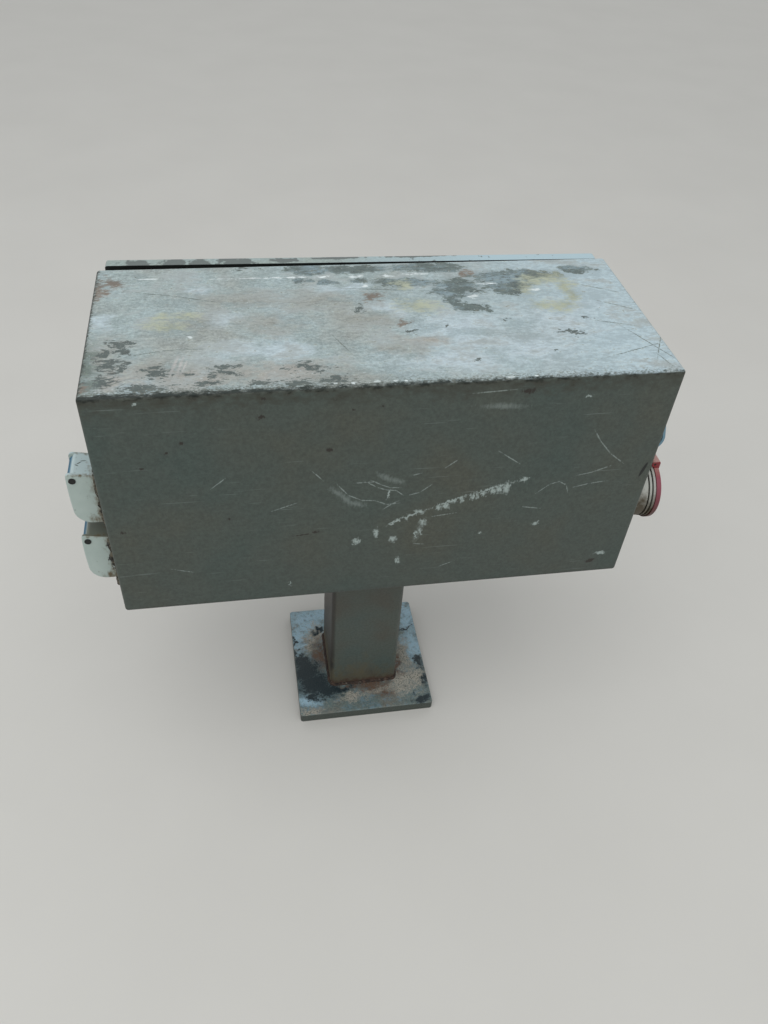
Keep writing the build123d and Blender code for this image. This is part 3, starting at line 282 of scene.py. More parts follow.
weld_rust, tree, mm = new_finish("rusted_weld_bead")
shade, dust = enamel(tree, mm, "#342A24", "#503F35", "#211C19", 7)
ash = put(tree, "ShaderNodeTexNoise", {"Vector": mm, "Scale": 0.16, "Detail": 5})
ashen = put(tree, "ShaderNodeMapRange", {"Value": ash, "From Min": 0.58, "From Max": 0.68})
shade = coat(tree, shade, [(ashen, "#6E655A")])
rough = put(tree, "ShaderNodeMapRange", {"Value": dust, "To Min": 0.8, "To Max": 0.98})
close_finish(tree, shade, rough, dust, 0.9)
for bead in beads:
    bead.data.materials.append(weld_rust)

# The four bolts under the cabinet with their nuts, and all other small steel pieces: zinc
# plate, gone dull and white in places. Each is turned or pressed, so it is nearly smooth.
dull_zinc, tree, mm = new_finish("dull_zinc_plate")
bloom = put(tree, "ShaderNodeTexNoise", {"Vector": mm, "Scale": 0.12, "Detail": 6, "Roughness": 0.65})
white = put(tree, "ShaderNodeMapRange", {"Value": bloom, "From Min": 0.42, "From Max": 0.72})
shade = put(tree, "ShaderNodeMixRGB", {"Fac": white, "Color1": tone("#9B9A92"), "Color2": tone("#B9B8AE")})
rough = put(tree, "ShaderNodeMapRange", {"Value": bloom, "To Min": 0.32, "To Max": 0.62})
fine = put(tree, "ShaderNodeTexNoise", {"Vector": mm, "Scale": 1.6, "Detail": 3})
close_finish(tree, shade, rough, fine, 0.04, metal=0.85)
dress(["stand_bolts", "stand_nuts", "hinge_pins", "lock_nut", "lock_cam", "cam_screw", "outlet_screws",
       "lid_springs", "socket_screws", "mounting_plate", "tray_spacers", "tray_fixings",
       "rail", "guard_pillars"], dull_zinc)


# The cabinet: 2 mm steel sheet, folded and spot-welded, with two coats of machine enamel. The
# top coat on the lid is pale blue, partly chalked and partly a painted sky reflection, and has
# flaked off to the dark first coat where water stood. The back is scuffed by things dragged
# along it, down to the grey primer.
back_y, lid_level = 125, 620
box_middle = (0, 0, 467.5)
inner_half = (303.4, 123.4, 150.9)


def back_ovals(places):
    """Marks on the back: x, z, half length, half height and degrees, in millimetres."""
    return [((x, back_y, z), (long, 4, high), (0, math.radians(turn), 0))
            for x, z, long, high, turn in places]


def thin_marks(runs, wide, sense=1):
    """Scratches as thin ovals from bend to bend: middle, half sizes and degrees of each."""
    out = []
    for run in runs:
        for (a0, b0), (a1, b1) in zip(run, run[1:]):
            half = math.hypot(a1 - a0, b1 - b0) * 1.1 + wide
            turn = sense * math.degrees(math.atan2(b1 - b0, a1 - a0))
            out.append(((a0 + a1) / 2, (b0 + b1) / 2, half, wide, turn))
    return out


def back_lines(runs, wide):
    """The same on the back, where a turn counts the other way: x and z of each bend."""
    return back_ovals(thin_marks(runs, wide, -1))


def facing(tree, axis, low, high):
    """Where the surface faces along an axis: 0 up to the first value and 1 from the second."""
    normal = put(tree, "ShaderNodeTexCoord").outputs["Normal"]
    part = put(tree, "ShaderNodeSeparateXYZ", {"Vector": normal}).outputs[axis]
    return put(tree, "ShaderNodeMapRange", {"Value": part, "From Min": low, "From Max": high})


hair_scratches = [
    [(58, 493), (46, 477), (31, 468), (16, 466), (2, 459), (-11, 460)],
    [(26, 494), (15, 486), (4, 481), (-7, 479), (-15, 472)],
    [(21, 496), (10, 489), (0, 484), (-11, 483)], [(38, 494), (30, 494), (17, 494)],
    [(5, 453), (-3, 459), (-10, 463)], [(-22, 471), (-34, 474), (-46, 484)], [(-24, 500), (-33, 502)],
    [(-51, 435), (-76, 438)], [(-33, 393), (-44, 391)], [(-120, 524), (-143, 507)],
    [(-173, 462), (-185, 473), (-196, 476), (-205, 470), (-209, 460)],
    [(-216, 466), (-233, 470), (-251, 472)], [(-217, 484), (-232, 487), (-250, 494)],
    [(-61, 509), (-72, 518)], [(-223, 545), (-230, 534), (-247, 514), (-264, 500)],
    [(84, 513), (74, 501)], [(104, 470), (126, 462)], [(-160, 440), (-178, 436)],
    [(190, 500), (176, 512)], [(240, 380), (222, 374)], [(-70, 350), (-84, 356)],
    [(-80, 605), (-118, 607)]]
smears = [[(63, 486), (53, 477), (44, 466), (31, 461)], [(10, 502), (-1, 495), (-10, 492)],
          [(-40, 424), (-36, 404)], [(-98, 588), (-126, 586)]]
scuff_line = [[(-2, 427), (-15, 436), (-44, 446)], [(-54, 451), (-89, 465)], [(-98, 467), (-136, 479)],
              [(0, 479), (2, 469)], [(-148, 481), (-157, 485)]]
scuffs = [(-5, 428, 4, 3, 0), (-12, 433, 6, 4, 0), (-22, 436, 5, 8, 0), (-36, 444, 13, 5, -16),
          (-58, 449, 8, 8, 0), (-66, 450, 9, 9, 0), (-74, 457, 7, 6, 0), (-84, 459, 4, 12, 0),
          (-95, 462, 5, 10, 0), (-102, 462, 5, 9, 0), (-109, 465, 6, 9, 0), (-119, 468, 7, 9, 0),
          (-126, 471, 9, 13, 0), (-134, 472, 8, 16, 0), (-153, 483, 9, 5, -20), (-42, 427, 9, 10, 0),
          (-40, 412, 2.4, 13, 0), (-34, 408, 2.4, 15, 0), (35, 404, 9, 9, 0), (12, 415, 6, 15, 0),
          (-8, 403, 7, 10, 0), (-16, 366, 5, 12, 0), (-180, 411, 7, 6, 0), (-113, 403, 6, 2.4, -10),
          (-276, 350, 14, 5, 0), (-203, 594, 8, 3, 0), (253, 611, 6, 3, 30), (112, 340, 3, 9, 0)]
rust_dots = [(82, 424, 8, 4, 0), (96, 421, 18, 2, 6), (136, 589, 9, 6, 0), (132, 611, 5, 4, 0),
             (215, 562, 4, 4, 0), (231, 550, 4, 4, 0), (256, 532, 6, 4, 0), (289, 444, 7, 4, 0),
             (14, 595, 3, 3, 0), (44, 592, 3, 3, 0), (-136, 604, 18, 7, 0), (67, 542, 7, 5, 0),
             (-266, 337, 12, 8, 0), (175, 454, 4, 4, 0)]
dent = [[(-296.2, 493), (-292.8, 479)]]

# The back and the side walls: dark enamel with scratches, scuffs and rust dots laid over it,
# dirt under the fold and along the hem, and a plainer, paler coat inside.
shell_enamel, tree, mm = new_finish("chalk_and_sheen_cabinet_enamel")
split = put(tree, "ShaderNodeSeparateXYZ", {"Vector": mm})
is_back = facing(tree, "Y", 0.5, 0.9)
dark, dust = enamel(tree, mm, "#434C46", "#474B42", "#3E4B46", 120)
chips = grain(tree, mm, 3.2, (1.3, 1, 0.55))
fuzz = grain(tree, mm, 11, (1, 1, 1.6))
frayed = strayed(tree, mm, 4.5, (11, 0, 12))
hairs = flakes(tree, oval_marks(tree, mm, back_lines(hair_scratches, 1.5)), chips, 0.6, 0.74, 1.0)
hairs = put(tree, "ShaderNodeMath", {0: hairs, 1: 0.55}, operation="MULTIPLY")
smeared = flakes(tree, oval_marks(tree, mm, back_lines(smears, 6)), chips, 0.5, 0.6, 0.95)
smeared = put(tree, "ShaderNodeMath", {0: smeared, 1: 0.3}, operation="MULTIPLY")
scraped = oval_marks(tree, frayed, back_lines(scuff_line, 2.6) + back_ovals(scuffs))
scraped = flakes(tree, scraped, chips, 0.6, 0.72, 1.0)
pale = put(tree, "ShaderNodeMath", {0: hairs, 1: scraped}, operation="MAXIMUM")
pale = put(tree, "ShaderNodeMath", {0: pale, 1: smeared}, operation="MAXIMUM")
for turn in (25, -40):
    combed = put(tree, "ShaderNodeMapping", {"Vector": mm, "Rotation": (0, math.radians(turn), 0),
                                             "Scale": (0.035, 1, 1)})
    combed = put(tree, "ShaderNodeTexNoise", {"Vector": combed, "Scale": 0.42, "Detail": 2})
    lines = put(tree, "ShaderNodeMapRange", {"Value": combed, "From Min": 0.72, "From Max": 0.78,
                                             "To Max": 0.2})
    pale = put(tree, "ShaderNodeMath", {0: pale, 1: lines}, operation="MAXIMUM")
pale = put(tree, "ShaderNodeMath", {0: pale, 1: is_back}, operation="MULTIPLY")
pits = flakes(tree, oval_marks(tree, mm, back_ovals(rust_dots)), chips, 0.5, 0.72, 0.86)
nick = oval_marks(tree, mm, back_lines(dent, 3.4))
nick = put(tree, "ShaderNodeMapRange", {"Value": nick, "From Min": 0.36, "From Max": 0.5})
brow = fade(tree, mm, "Z", 584, 624)
brow = flakes(tree, brow, fuzz, 0.5, 0.7, 1.0)
fold_grime = fade(tree, mm, "Z", 613, 620)
fold_grime = flakes(tree, fold_grime, fuzz, 0.4, 0.68, 0.9)
foot_shade = fade(tree, mm, "Z", 315, 430, 0.92, 1.0)
hem = fade(tree, mm, "Z", 324, 315)
hem = flakes(tree, hem, chips, 0.3, 0.6, 0.9)
mist = put(tree, "ShaderNodeMapRange", {"Value": fuzz, "From Min": 0.55, "From Max": 0.75, "To Max": 0.4})
# The sheet's inner faces are those that lie within the box of these half sizes.
clear = put(tree, "ShaderNodeVectorMath", {0: mm, 1: box_middle}, operation="SUBTRACT")
clear = put(tree, "ShaderNodeVectorMath", {0: clear}, operation="ABSOLUTE")
clear = put(tree, "ShaderNodeVectorMath", {0: clear, 1: inner_half}, operation="SUBTRACT")
clear = put(tree, "ShaderNodeSeparateXYZ", {"Vector": clear})
inner = put(tree, "ShaderNodeMath", {0: clear.outputs["X"], 1: clear.outputs["Y"]}, operation="MAXIMUM")
inner = put(tree, "ShaderNodeMath", {0: inner, 1: clear.outputs["Z"]}, operation="MAXIMUM")
inner = put(tree, "ShaderNodeMath", {0: inner, 1: 0}, operation="LESS_THAN")
dark = coat(tree, dark, [(mist, "#4F5853"), (brow, "#36382F"), (fold_grime, "#121A16"), (pale, "#9DAAA6"),
                         (pits, "#27221D"), (nick, "#0F1312"), (hem, "#393B36"), (inner, "#5E6A66")])
dark = put(tree, "ShaderNodeVectorMath", {0: dark, "Scale": foot_shade}, operation="SCALE")
rough = put(tree, "ShaderNodeMapRange", {"Value": dust, "To Min": 0.42, "To Max": 0.62})
rough = put(tree, "ShaderNodeMath", {0: fold_grime, 1: 0.35, 2: rough}, operation="MULTIPLY_ADD",
            use_clamp=True)
dark_side = coat_shader(tree, dark, rough, dust, 0.2)

# The lid's marks, each where the real one is: clouds and haze in the chalk and painted sky
# reflection, tan and lichen, wet patches with islands in them, bare flakes, chalk runs, rust, rubs and
# cuts.
haze = flat_ovals([(150, -46, 100, 30, -4), (60, -40, 90, 34, 0), (112, 4, 60, 34, 0), (205, 0, 50, 30, 0),
                   (180, 92, 100, 34, 0), (240, 78, 50, 36, 0), (-6, 62, 56, 16, 0),
                   (286, 60, 40, 70, 0), (10, 5, 60, 30, 0), (60, 108, 110, 20, 0)], lid_level)
cloud = flat_ovals([(196, -68, 30, 16, 8), (174, -3, 40, 22, 20), (-24, -18, 40, 26, 0),
                    (-90, 20, 90, 46, 0), (120, 56, 90, 30, 0), (-200, 20, 90, 50, 0),
                    (20, -70, 60, 14, 0), (292, -10, 16, 30, 0), (-230, -10, 60, 40, 0),
                    (-60, 84, 90, 36, 0), (-150, 70, 90, 50, 0), (-90, 50, 60, 30, 0)], lid_level)
tanned = flat_ovals([(205, 99, 90, 32, -5), (270, 99, 42, 26, -5), (114, 95, 76, 24, -4),
                     (-44, 46, 40, 12, 0)], lid_level)
lichen = flat_ovals([(-194, -75, 26, 20, -3), (-217, -77, 28, 22, -3), (-230, -59, 20, 35, -3),
                     (-231, -32, 16, 36, -3), (-211, -13, 28, 22, -4), (-190, -16, 22, 15, -4),
                     (-41, -70, 18, 20, -3), (-50, -22, 38, 24, -4), (-183, -52, 18, 16, -3),
                     (228, 2, 38, 15, -10), (232, -15, 24, 12, 0), (204, -18, 26, 12, 0)], lid_level)
flooded = flat_ovals([(68, -113, 30, 19, -3), (12, -110, 54, 13, -3), (-76, -110, 60, 16, -3),
                      (78, -87, 14, 9, -3), (49, -81, 16, 8, -3), (10, -82, 18, 7, -3),
                      (-42, -76, 48, 15, -3), (-101, -57, 42, 33, -3), (-178, -85, 78, 20, -3),
                      (-160, -68, 44, 25, -3), (-163, -55, 24, 20, -3), (-93, -32, 14, 27, -3),
                      (-113, -15, 26, 11, -6), (-258, -96, 30, 13, -3)], lid_level)
islands = flat_ovals([(-114, -38, 20, 20, -3), (-139, -67, 18, 8, -3), (-83, -62, 12, 6, -3),
                      (-194, -50, 16, 14, -3), (-60, -58, 10, 5, 0), (-104, -84, 26, 4, 0),
                      (-30, -96, 60, 4, 0)], lid_level)
flaked = flat_ovals([(274, 31, 14, 14, 30), (264, 33, 11, 10, 30), (285, 49, 20, 10, 35),
                     (270, 48, 16, 10, 35), (279, 70, 24, 16, 35), (266, 74, 20, 8, 45),
                     (232, 87, 26, 20, -4), (205, 91, 14, 7, -4), (176, 83, 13, 7, -4),
                     (162, 82, 17, 7, 10), (165, 93, 30, 9, -4), (182, 107, 22, 11, -5),
                     (286, 99, 26, 18, 30), (17, -23, 12, 16, -4), (84, 88, 38, 16, -4),
                     (62, 111, 30, 11, -5), (100, 114, 32, 13, -5), (132, 112, 26, 8, 0),
                     (137, -118, 30, 4, 0), (-205, 44, 24, 9, 0), (-180, 79, 10, 4, 0),
                     (-92, 90, 12, 6, 0), (-232, 14, 6, 4, 0), (-24, 12, 10, 5, 40), (-32, 30, 9, 5, 0),
                     (-145, 12, 5, 5, 0), (-71, 22, 7, 3, 40), (240, 112, 44, 12, 0)], lid_level)
chalky = flat_ovals([(130, -95, 70, 3, 0), (86, -94, 34, 4, 0), (52, -94, 17, 6, -3), (13, -93, 16, 7, -3),
                     (-23, -93, 18, 5, -3), (-59, -96, 24, 5, -3), (250, -99, 40, 2, 0),
                     (-140, -68, 17, 5, -3), (201, 25, 6, 3, -40), (5, -70, 6, 5, 0),
                     (-194, -51, 13, 7, -3), (-115, -40, 12, 10, 0)], lid_level)
sparks = flat_ovals([(21, 118, 6, 3, 0), (2, 118, 4, 3, 0), (-115, 121, 7, 2, 0), (-142, 121, 3, 2, 0),
                     (44, 119, 4, 3, 0), (62, 118, 3, 2, 0), (-8, 119, 3, 2, 0)], lid_level + 1)
rusty = flat_ovals([(300, -76, 14, 28, -3), (289, -91, 28, 20, -30), (303, -63, 12, 20, -3),
                    (-2, -46, 16, 22, -3), (-120, -94, 13, 15, -3), (-24, 12, 14, 7, 40),
                    (304, 110, 14, 16, 0)], lid_level)
rubs = flat_ovals([(216, 76, 28, 3, 76), (210, 76, 26, 3, 79), (206, 78, 20, 2, 77)], lid_level)
cuts = [[(257, 55), (230, 49), (210, 47), (191, 48)], [(260, -70), (220, -60), (181, -47)],
        [(52, 37), (42, 60)], [(-302, 61), (-286, 92), (-293, 116)], [(-240, 90), (-300, 70)],
        [(-270, 40), (-303, 104)], [(-250, -60), (-290, -40)], [(-262, -20), (-296, 0)],
        [(-240, 20), (-280, 34)], [(30, -66), (-40, -58)], [(272, 77), (264, 67)],
        [(277, 105), (264, 98)], [(271, 112), (263, 104)]]
cuts = flat_ovals(thin_marks(cuts, 1.3), lid_level, 4)
stale = flat_ovals([(302, 64, 22, 50, 0), (300, 104, 24, 22, 0)], lid_level)

# The lid's coat: ragged noises break up those marks, and dirt and soot gather along the folds.
# Streaks, grit and slanted shards are the sizes of the real flakes, about 4, 2 and 3.6 mm.
# Painted sky reflection: the lid's pale blue coat is partly chalk and partly a reflection of the sky
# painted into the colour, bluest towards one end.
chalk_and_sky_sheen = enamel(tree, mm, "#9AA9A9", "#989F9B", "#A3B4B8", 70)[0]
blown = strayed(tree, mm, 46, (90, 50, 0))
ragged = strayed(tree, mm, 15, (44, 26, 0))
streaks = grain(tree, mm, 4.4, (0.45, 1, 1), 6, 0.72)
broad = grain(tree, mm, 30, (0.55, 1, 1), 7, 0.72)
slanted = put(tree, "ShaderNodeMapping", {"Vector": mm, "Rotation": (0, 0, math.radians(-40)),
                                          "Scale": (0.4, 1, 1)})
slanted = grain(tree, slanted, 3.6, (1, 1, 1), 6, 0.72)
to_left = fade(tree, mm, "X", 246, 256)
shards = put(tree, "ShaderNodeMixRGB", {"Fac": to_left, "Color1": streaks, "Color2": slanted})
grit = grain(tree, mm, 1.9, (0.7, 1, 1), 3)
blue_end = fade(tree, mm, "X", -20, -260, 0, 0.85)
mottle = put(tree, "ShaderNodeMath", {0: broad, 1: streaks}, operation="ADD")
mottle = put(tree, "ShaderNodeMapRange", {"Value": mottle, "From Min": 0.88, "From Max": 1.12,
                                          "To Min": 0.81, "To Max": 1.17})
hazy = flakes(tree, oval_marks(tree, blown, haze), broad, 0.3, 0.52, 0.78)
cloudy = flakes(tree, oval_marks(tree, blown, cloud), broad, 0.3, 0.54, 0.78)
stale = flakes(tree, oval_marks(tree, ragged, stale), streaks, 0.5, 0.6, 0.84)
mossy = flakes(tree, oval_marks(tree, ragged, lichen), streaks, 0.4, 0.57, 0.86)
tan = flakes(tree, oval_marks(tree, blown, tanned), broad, 0.3, 0.52, 0.76)
cleared = flakes(tree, oval_marks(tree, ragged, islands), streaks, 0.4, 0.66, 0.7)
pooled = oval_marks(tree, ragged, flooded)
shadowed = flakes(tree, pooled, broad, 0.5, 0.5, 0.8)
verge = flakes(tree, pooled, streaks, 0.6, 0.65, 0.69)
verge = put(tree, "ShaderNodeMath", {0: verge, 1: cleared}, operation="SUBTRACT", use_clamp=True)
deep = flakes(tree, pooled, streaks, 0.6, 0.7, 0.74)
deep = put(tree, "ShaderNodeMath", {0: deep, 1: cleared}, operation="SUBTRACT", use_clamp=True)
film = put(tree, "ShaderNodeMapRange", {"Value": broad, "From Min": 0.46, "From Max": 0.58})
film = put(tree, "ShaderNodeMath", {0: film, 1: deep}, operation="MULTIPLY")
crackle = put(tree, "ShaderNodeMapRange", {"Value": slanted, "From Min": 0.47, "From Max": 0.4})
crackle = put(tree, "ShaderNodeMath", {0: crackle, 1: deep}, operation="MULTIPLY")
bare = flakes(tree, oval_marks(tree, ragged, flaked), shards, 0.3, 0.65, 0.68)
bright = flakes(tree, oval_marks(tree, mm, sparks), grit, 0.5, 0.66, 0.8)
white = flakes(tree, oval_marks(tree, mm, chalky), streaks, 0.36, 0.66, 0.8)
brown = flakes(tree, oval_marks(tree, ragged, rusty), shards, 0.34, 0.6, 0.76)
scored = flakes(tree, oval_marks(tree, mm, cuts), grit, 0.6, 0.66, 1.0)
rubbed = flakes(tree, oval_marks(tree, mm, rubs), grit, 0.4, 0.6, 0.9)
heavy = fade(tree, mm, "X", -280, 290, 0.5, 1.0)
rim = fade(tree, mm, "Y", 92, 124)
rim = put(tree, "ShaderNodeMath", {0: rim, 1: 2.4}, operation="POWER")
rim = put(tree, "ShaderNodeMath", {0: rim, 1: heavy}, operation="MULTIPLY")
ends = put(tree, "ShaderNodeMath", {0: split.outputs["X"], 1: 0}, operation="ABSOLUTE")
ends = put(tree, "ShaderNodeMapRange", {"Value": ends, "From Min": 293, "From Max": 306})
ends = put(tree, "ShaderNodeMath", {0: ends, 1: 2}, operation="POWER")
ends = put(tree, "ShaderNodeMath", {0: ends, 1: heavy}, operation="MULTIPLY")
worn = put(tree, "ShaderNodeMath", {0: rim, 1: ends}, operation="MAXIMUM")
dirty = put(tree, "ShaderNodeMath", {0: hazy, 1: 0.22}, operation="MULTIPLY")
dirty = put(tree, "ShaderNodeMath", {0: worn, 1: dirty}, operation="MAXIMUM")
sand = flakes(tree, dirty, grit, 0.42, 0.64, 0.84)
fold_line = fade(tree, mm, "Y", 115, 124)
fold_line = put(tree, "ShaderNodeMath", {0: fold_line, 1: heavy}, operation="MULTIPLY")
fold_line = put(tree, "ShaderNodeMath", {0: fold_line, 1: ends}, operation="MAXIMUM")
sooty = flakes(tree, fold_line, shards, 0.4, 0.66, 0.82)
flecks = put(tree, "ShaderNodeMapRange", {"Value": grit, "From Min": 0.38, "From Max": 0.3, "To Max": 0.6})
chalk_and_sky_sheen = coat(tree, chalk_and_sky_sheen, [(blue_end, "#B0C3CA"), (cloudy, "#B4C3C9"), (hazy, "#92958F"), (tan, "#9C9A93"),
                           (stale, "#68756F"), (flecks, "#BECBCE"), (shadowed, "#869599"),
                           (verge, "#66726D"), (deep, "#5F6D6B"), (film, "#788A90"), (crackle, "#4F5A59"),
                           (mossy, "#A1A793"), (bare, "#525C5A"), (white, "#CFD8D8"), (rubbed, "#B2B1AE"),
                           (scored, "#6B746F"), (brown, "#776F66"), (sand, "#656B65"), (sooty, "#1A2522"),
                           (bright, "#CBD5D4")])
chalk_and_sky_sheen = put(tree, "ShaderNodeVectorMath", {0: chalk_and_sky_sheen, "Scale": mottle}, operation="SCALE")
rough = put(tree, "ShaderNodeMapRange", {"Value": streaks, "From Min": 0.3, "From Max": 0.7, "To Min": 0.5,
                                         "To Max": 0.75})
chalk_and_sheen_top = coat_shader(tree, chalk_and_sky_sheen, rough, streaks, 0.35)
# Painted sky reflection: only the lid's upward faces take the pale coat; all other faces keep the dark
# enamel.
is_top = facing(tree, "Z", 0.5, 0.8)
on_lid = put(tree, "ShaderNodeMath", {0: split.outputs["Z"], 1: lid_level - 20}, operation="GREATER_THAN")
is_top = put(tree, "ShaderNodeMath", {0: is_top, 1: on_lid}, operation="MULTIPLY")
both = put(tree, "ShaderNodeMixShader", {0: is_top, 1: dark_side, 2: chalk_and_sheen_top})
tree.links.new(both.outputs[0], tree.nodes["Material Output"].inputs["Surface"])
dress(["cabinet_shell", "door_frame", "hinge_frame_leaves"], shell_enamel)

# The seal on the lip: a strip of black closed-cell foam, cut and glued on. Its open skin of
# small cells makes it dull, and dust lies in it.
seal_foam, tree, mm = new_finish("black_cell_foam")
cells = put(tree, "ShaderNodeTexVoronoi", {"Vector": mm, "Scale": 0.9})
shade = put(tree, "ShaderNodeMixRGB", {"Fac": cells, "Color1": tone("#1C1D1D"), "Color2": tone("#2D2E2C")})
rough = put(tree, "ShaderNodeMapRange", {"Value": cells, "To Min": 0.85, "To Max": 0.98})
close_finish(tree, shade, rough, cells, 0.3)
dress(["door_seal"], seal_foam)

# The door: a folded pan of 1.5 mm sheet in the same enamel, hung on two weld-on hinges. Its
# top edge has flaked in blocks, and its front is scuffed round the lock by many hands.
door_enamel, tree, mm = new_finish("chalk_and_sheen_door_enamel")
is_top = facing(tree, "Z", 0.5, 0.8)
dark, dust = enamel(tree, mm, "#545C57", "#575751", "#4A5B58", 130)
door_front, door_top = -144, 617
seal_from_x, seal_from_z = 290, 137
rubbed = [((x, door_front, z), (long, 6, high), (0, turn, 0)) for x, z, long, high, turn in (
    (268, 467, 60, 52, 0), (262, 400, 40, 46, 0.4), (-40, 372, 90, 16, -0.2), (60, 560, 70, 14, 0.12),
    (-200, 440, 30, 60, 0.5), (120, 345, 120, 16, 0.05))]
rubbed = flakes(tree, oval_marks(tree, mm, rubbed), grain(tree, mm, 6, (0.4, 1, 1)), 0.4, 0.6, 0.74)
rubbed = put(tree, "ShaderNodeMath", {0: rubbed, 1: 0.4}, operation="MULTIPLY")
foot = fade(tree, mm, "Z", 350, 318)
foot = flakes(tree, foot, grain(tree, mm, 9, (0.6, 1, 1)), 0.5, 0.7, 0.95)
inside = facing(tree, "Y", 0.5, 0.8)
rubbed = put(tree, "ShaderNodeMath", {0: rubbed, 1: inside}, operation="SUBTRACT", use_clamp=True)
# Painted shade: a near-black band round the rim of the door's inner face, partly dirt from the seal and
# partly the shade of the gap between door and frame.
off_middle = put(tree, "ShaderNodeVectorMath", {0: mm, 1: box_middle}, operation="SUBTRACT")
off_middle = put(tree, "ShaderNodeVectorMath", {0: off_middle}, operation="ABSOLUTE")
off_middle = put(tree, "ShaderNodeSeparateXYZ", {"Vector": off_middle})
beyond = put(tree, "ShaderNodeMath", {0: off_middle.outputs["X"], 1: seal_from_x}, operation="GREATER_THAN")
above = put(tree, "ShaderNodeMath", {0: off_middle.outputs["Z"], 1: seal_from_z}, operation="GREATER_THAN")
seal_dirt_and_gap_shade = put(tree, "ShaderNodeMath", {0: beyond, 1: above}, operation="MAXIMUM")
seal_dirt_and_gap_shade = put(tree, "ShaderNodeMath", {0: seal_dirt_and_gap_shade, 1: inside}, operation="MULTIPLY")
dark = coat(tree, dark, [(rubbed, "#7E8C88"), (foot, "#4B443A"), (seal_dirt_and_gap_shade, "#151918")])
# Painted sky reflection: the door's upward faces take a pale blue coat, partly chalk and partly a
# reflection of the sky painted into the colour.
chalk_and_sky_sheen = enamel(tree, mm, "#8F9C97", "#8B9590", "#93A3A2", 60)[0]
blue_end = fade(tree, mm, "X", 60, -160)
blocks = flat_ovals([(264, -136, 19, 26, 0), (221, -136, 19, 26, 0), (191, -136, 16, 26, 0),
                     (147, -136, 32, 26, 0), (90, -142, 24, 8, 0), (30, -145, 40, 4, 0),
                     (-70, -145, 60, 4, 0)], door_top, 20)
blocks = flakes(tree, oval_marks(tree, mm, blocks), grain(tree, mm, 9), 0.5, 0.62, 0.68)
chalk_and_sky_sheen = coat(tree, chalk_and_sky_sheen, [(blue_end, "#A7BEC6"), (blocks, "#5F6867")])
shade = put(tree, "ShaderNodeMixRGB", {"Fac": is_top, "Color1": dark, "Color2": chalk_and_sky_sheen})
rough = put(tree, "ShaderNodeMapRange", {"Value": dust, "To Min": 0.4, "To Max": 0.6})
close_finish(tree, shade, rough, dust, 0.2)
dress(["door_panel", "hinge_door_leaves"], door_enamel)

# The lock's body and core: zinc die-casting with a dull plating, brassy where a key has
# worn it. It goes through the door and is held behind by a nut.
lock_plate, tree, mm = new_finish("worn_lock_plating")
wear = put(tree, "ShaderNodeTexNoise", {"Vector": mm, "Scale": 0.3, "Detail": 6})
worn = put(tree, "ShaderNodeMapRange", {"Value": wear, "From Min": 0.5, "From Max": 0.66})
shade = put(tree, "ShaderNodeMixRGB", {"Fac": worn, "Color1": tone("#8F8E88"), "Color2": tone("#857A63")})
rough = put(tree, "ShaderNodeMapRange", {"Value": wear, "To Min": 0.25, "To Max": 0.5})
close_finish(tree, shade, rough, wear, 0.05, metal=0.9)
dress(["lock_body", "lock_core"], lock_plate)


# The side outlets' housings: pale grey ABS, moulded, bleached and slightly rough. Brown
# dirt has run down from the joint with the wall and settled along the foot of each cheek.
def clouded(name, per_mm, detail, dim, bright):
    """A material in two shades that drift in soft clouds, so many of them per millimetre."""
    finish, tree, mm = new_finish(name)
    clouds = put(tree, "ShaderNodeTexNoise", {"Vector": mm, "Scale": per_mm, "Detail": detail})
    shade = put(tree, "ShaderNodeMixRGB", {"Fac": clouds, "Color1": tone(dim), "Color2": tone(bright)})
    return finish, tree, mm, clouds, shade


def close_clouded(tree, mm, shade, clouds, smooth, rough, pores_per_mm, detail, depth):
    """Closes it with a roughness that follows the clouds and a relief of fine pores."""
    rough = put(tree, "ShaderNodeMapRange", {"Value": clouds, "To Min": smooth, "To Max": rough})
    pores = put(tree, "ShaderNodeTexNoise", {"Vector": mm, "Scale": pores_per_mm, "Detail": detail})
    close_finish(tree, shade, rough, pores, depth)


crown_levels = (504, 414)
shade_and_dirt_below = 440
pale_abs, tree, mm, clouds, shade = clouded("bleached_outlet_abs", 0.05, 5, "#A0B0AA", "#BAC7C1")
split = put(tree, "ShaderNodeSeparateXYZ", {"Vector": mm})
out_of_wall = put(tree, "ShaderNodeMath", {0: split.outputs["X"], 1: 0}, operation="ABSOLUTE")
# Painted sky reflection: is_up marks the upward faces, which are painted a paler blue-grey.
is_up = facing(tree, "Z", 0.5, 0.8)
smuts = grain(tree, mm, 5, (1, 1, 0.5))
near_wall = put(tree, "ShaderNodeMapRange", {"Value": out_of_wall, "From Min": 326, "From Max": 307})
grime = flakes(tree, near_wall, smuts, 0.5, 0.72, 1.05)
stained = [((316, 96, 440), (16, 6, 14), (0, 0, 0)), ((316, 96, 350), (18, 6, 16), (0, 0, 0))]
for level in crown_levels:
    stained += flat_ovals([(322, 96, 24, 7, 0), (322, 58, 24, 7, 0)], level, 5)
stained = flakes(tree, oval_marks(tree, mm, stained), smuts, 0.5, 0.68, 1.0)
tarred = [((311, 96, 392), (5, 4, 14), (0, 0.2, 0)), ((313, 96, 378), (6, 4, 9), (0, -0.3, 0)),
          ((310, 96, 366), (5, 4, 12), (0, 0, 0))]
tarred = flakes(tree, oval_marks(tree, mm, tarred), smuts, 0.5, 0.66, 0.74)
hair = [((327, 76, 504), (4, 0.8, 4), (0, 0, 0.8)), ((323, 72, 504), (4, 0.8, 4), (0, 0, 0.2)),
        ((329, 80, 504), (2.6, 0.8, 4), (0, 0, -0.5))]
hair = put(tree, "ShaderNodeMapRange", {"Value": oval_marks(tree, mm, hair), "From Max": 0.4})
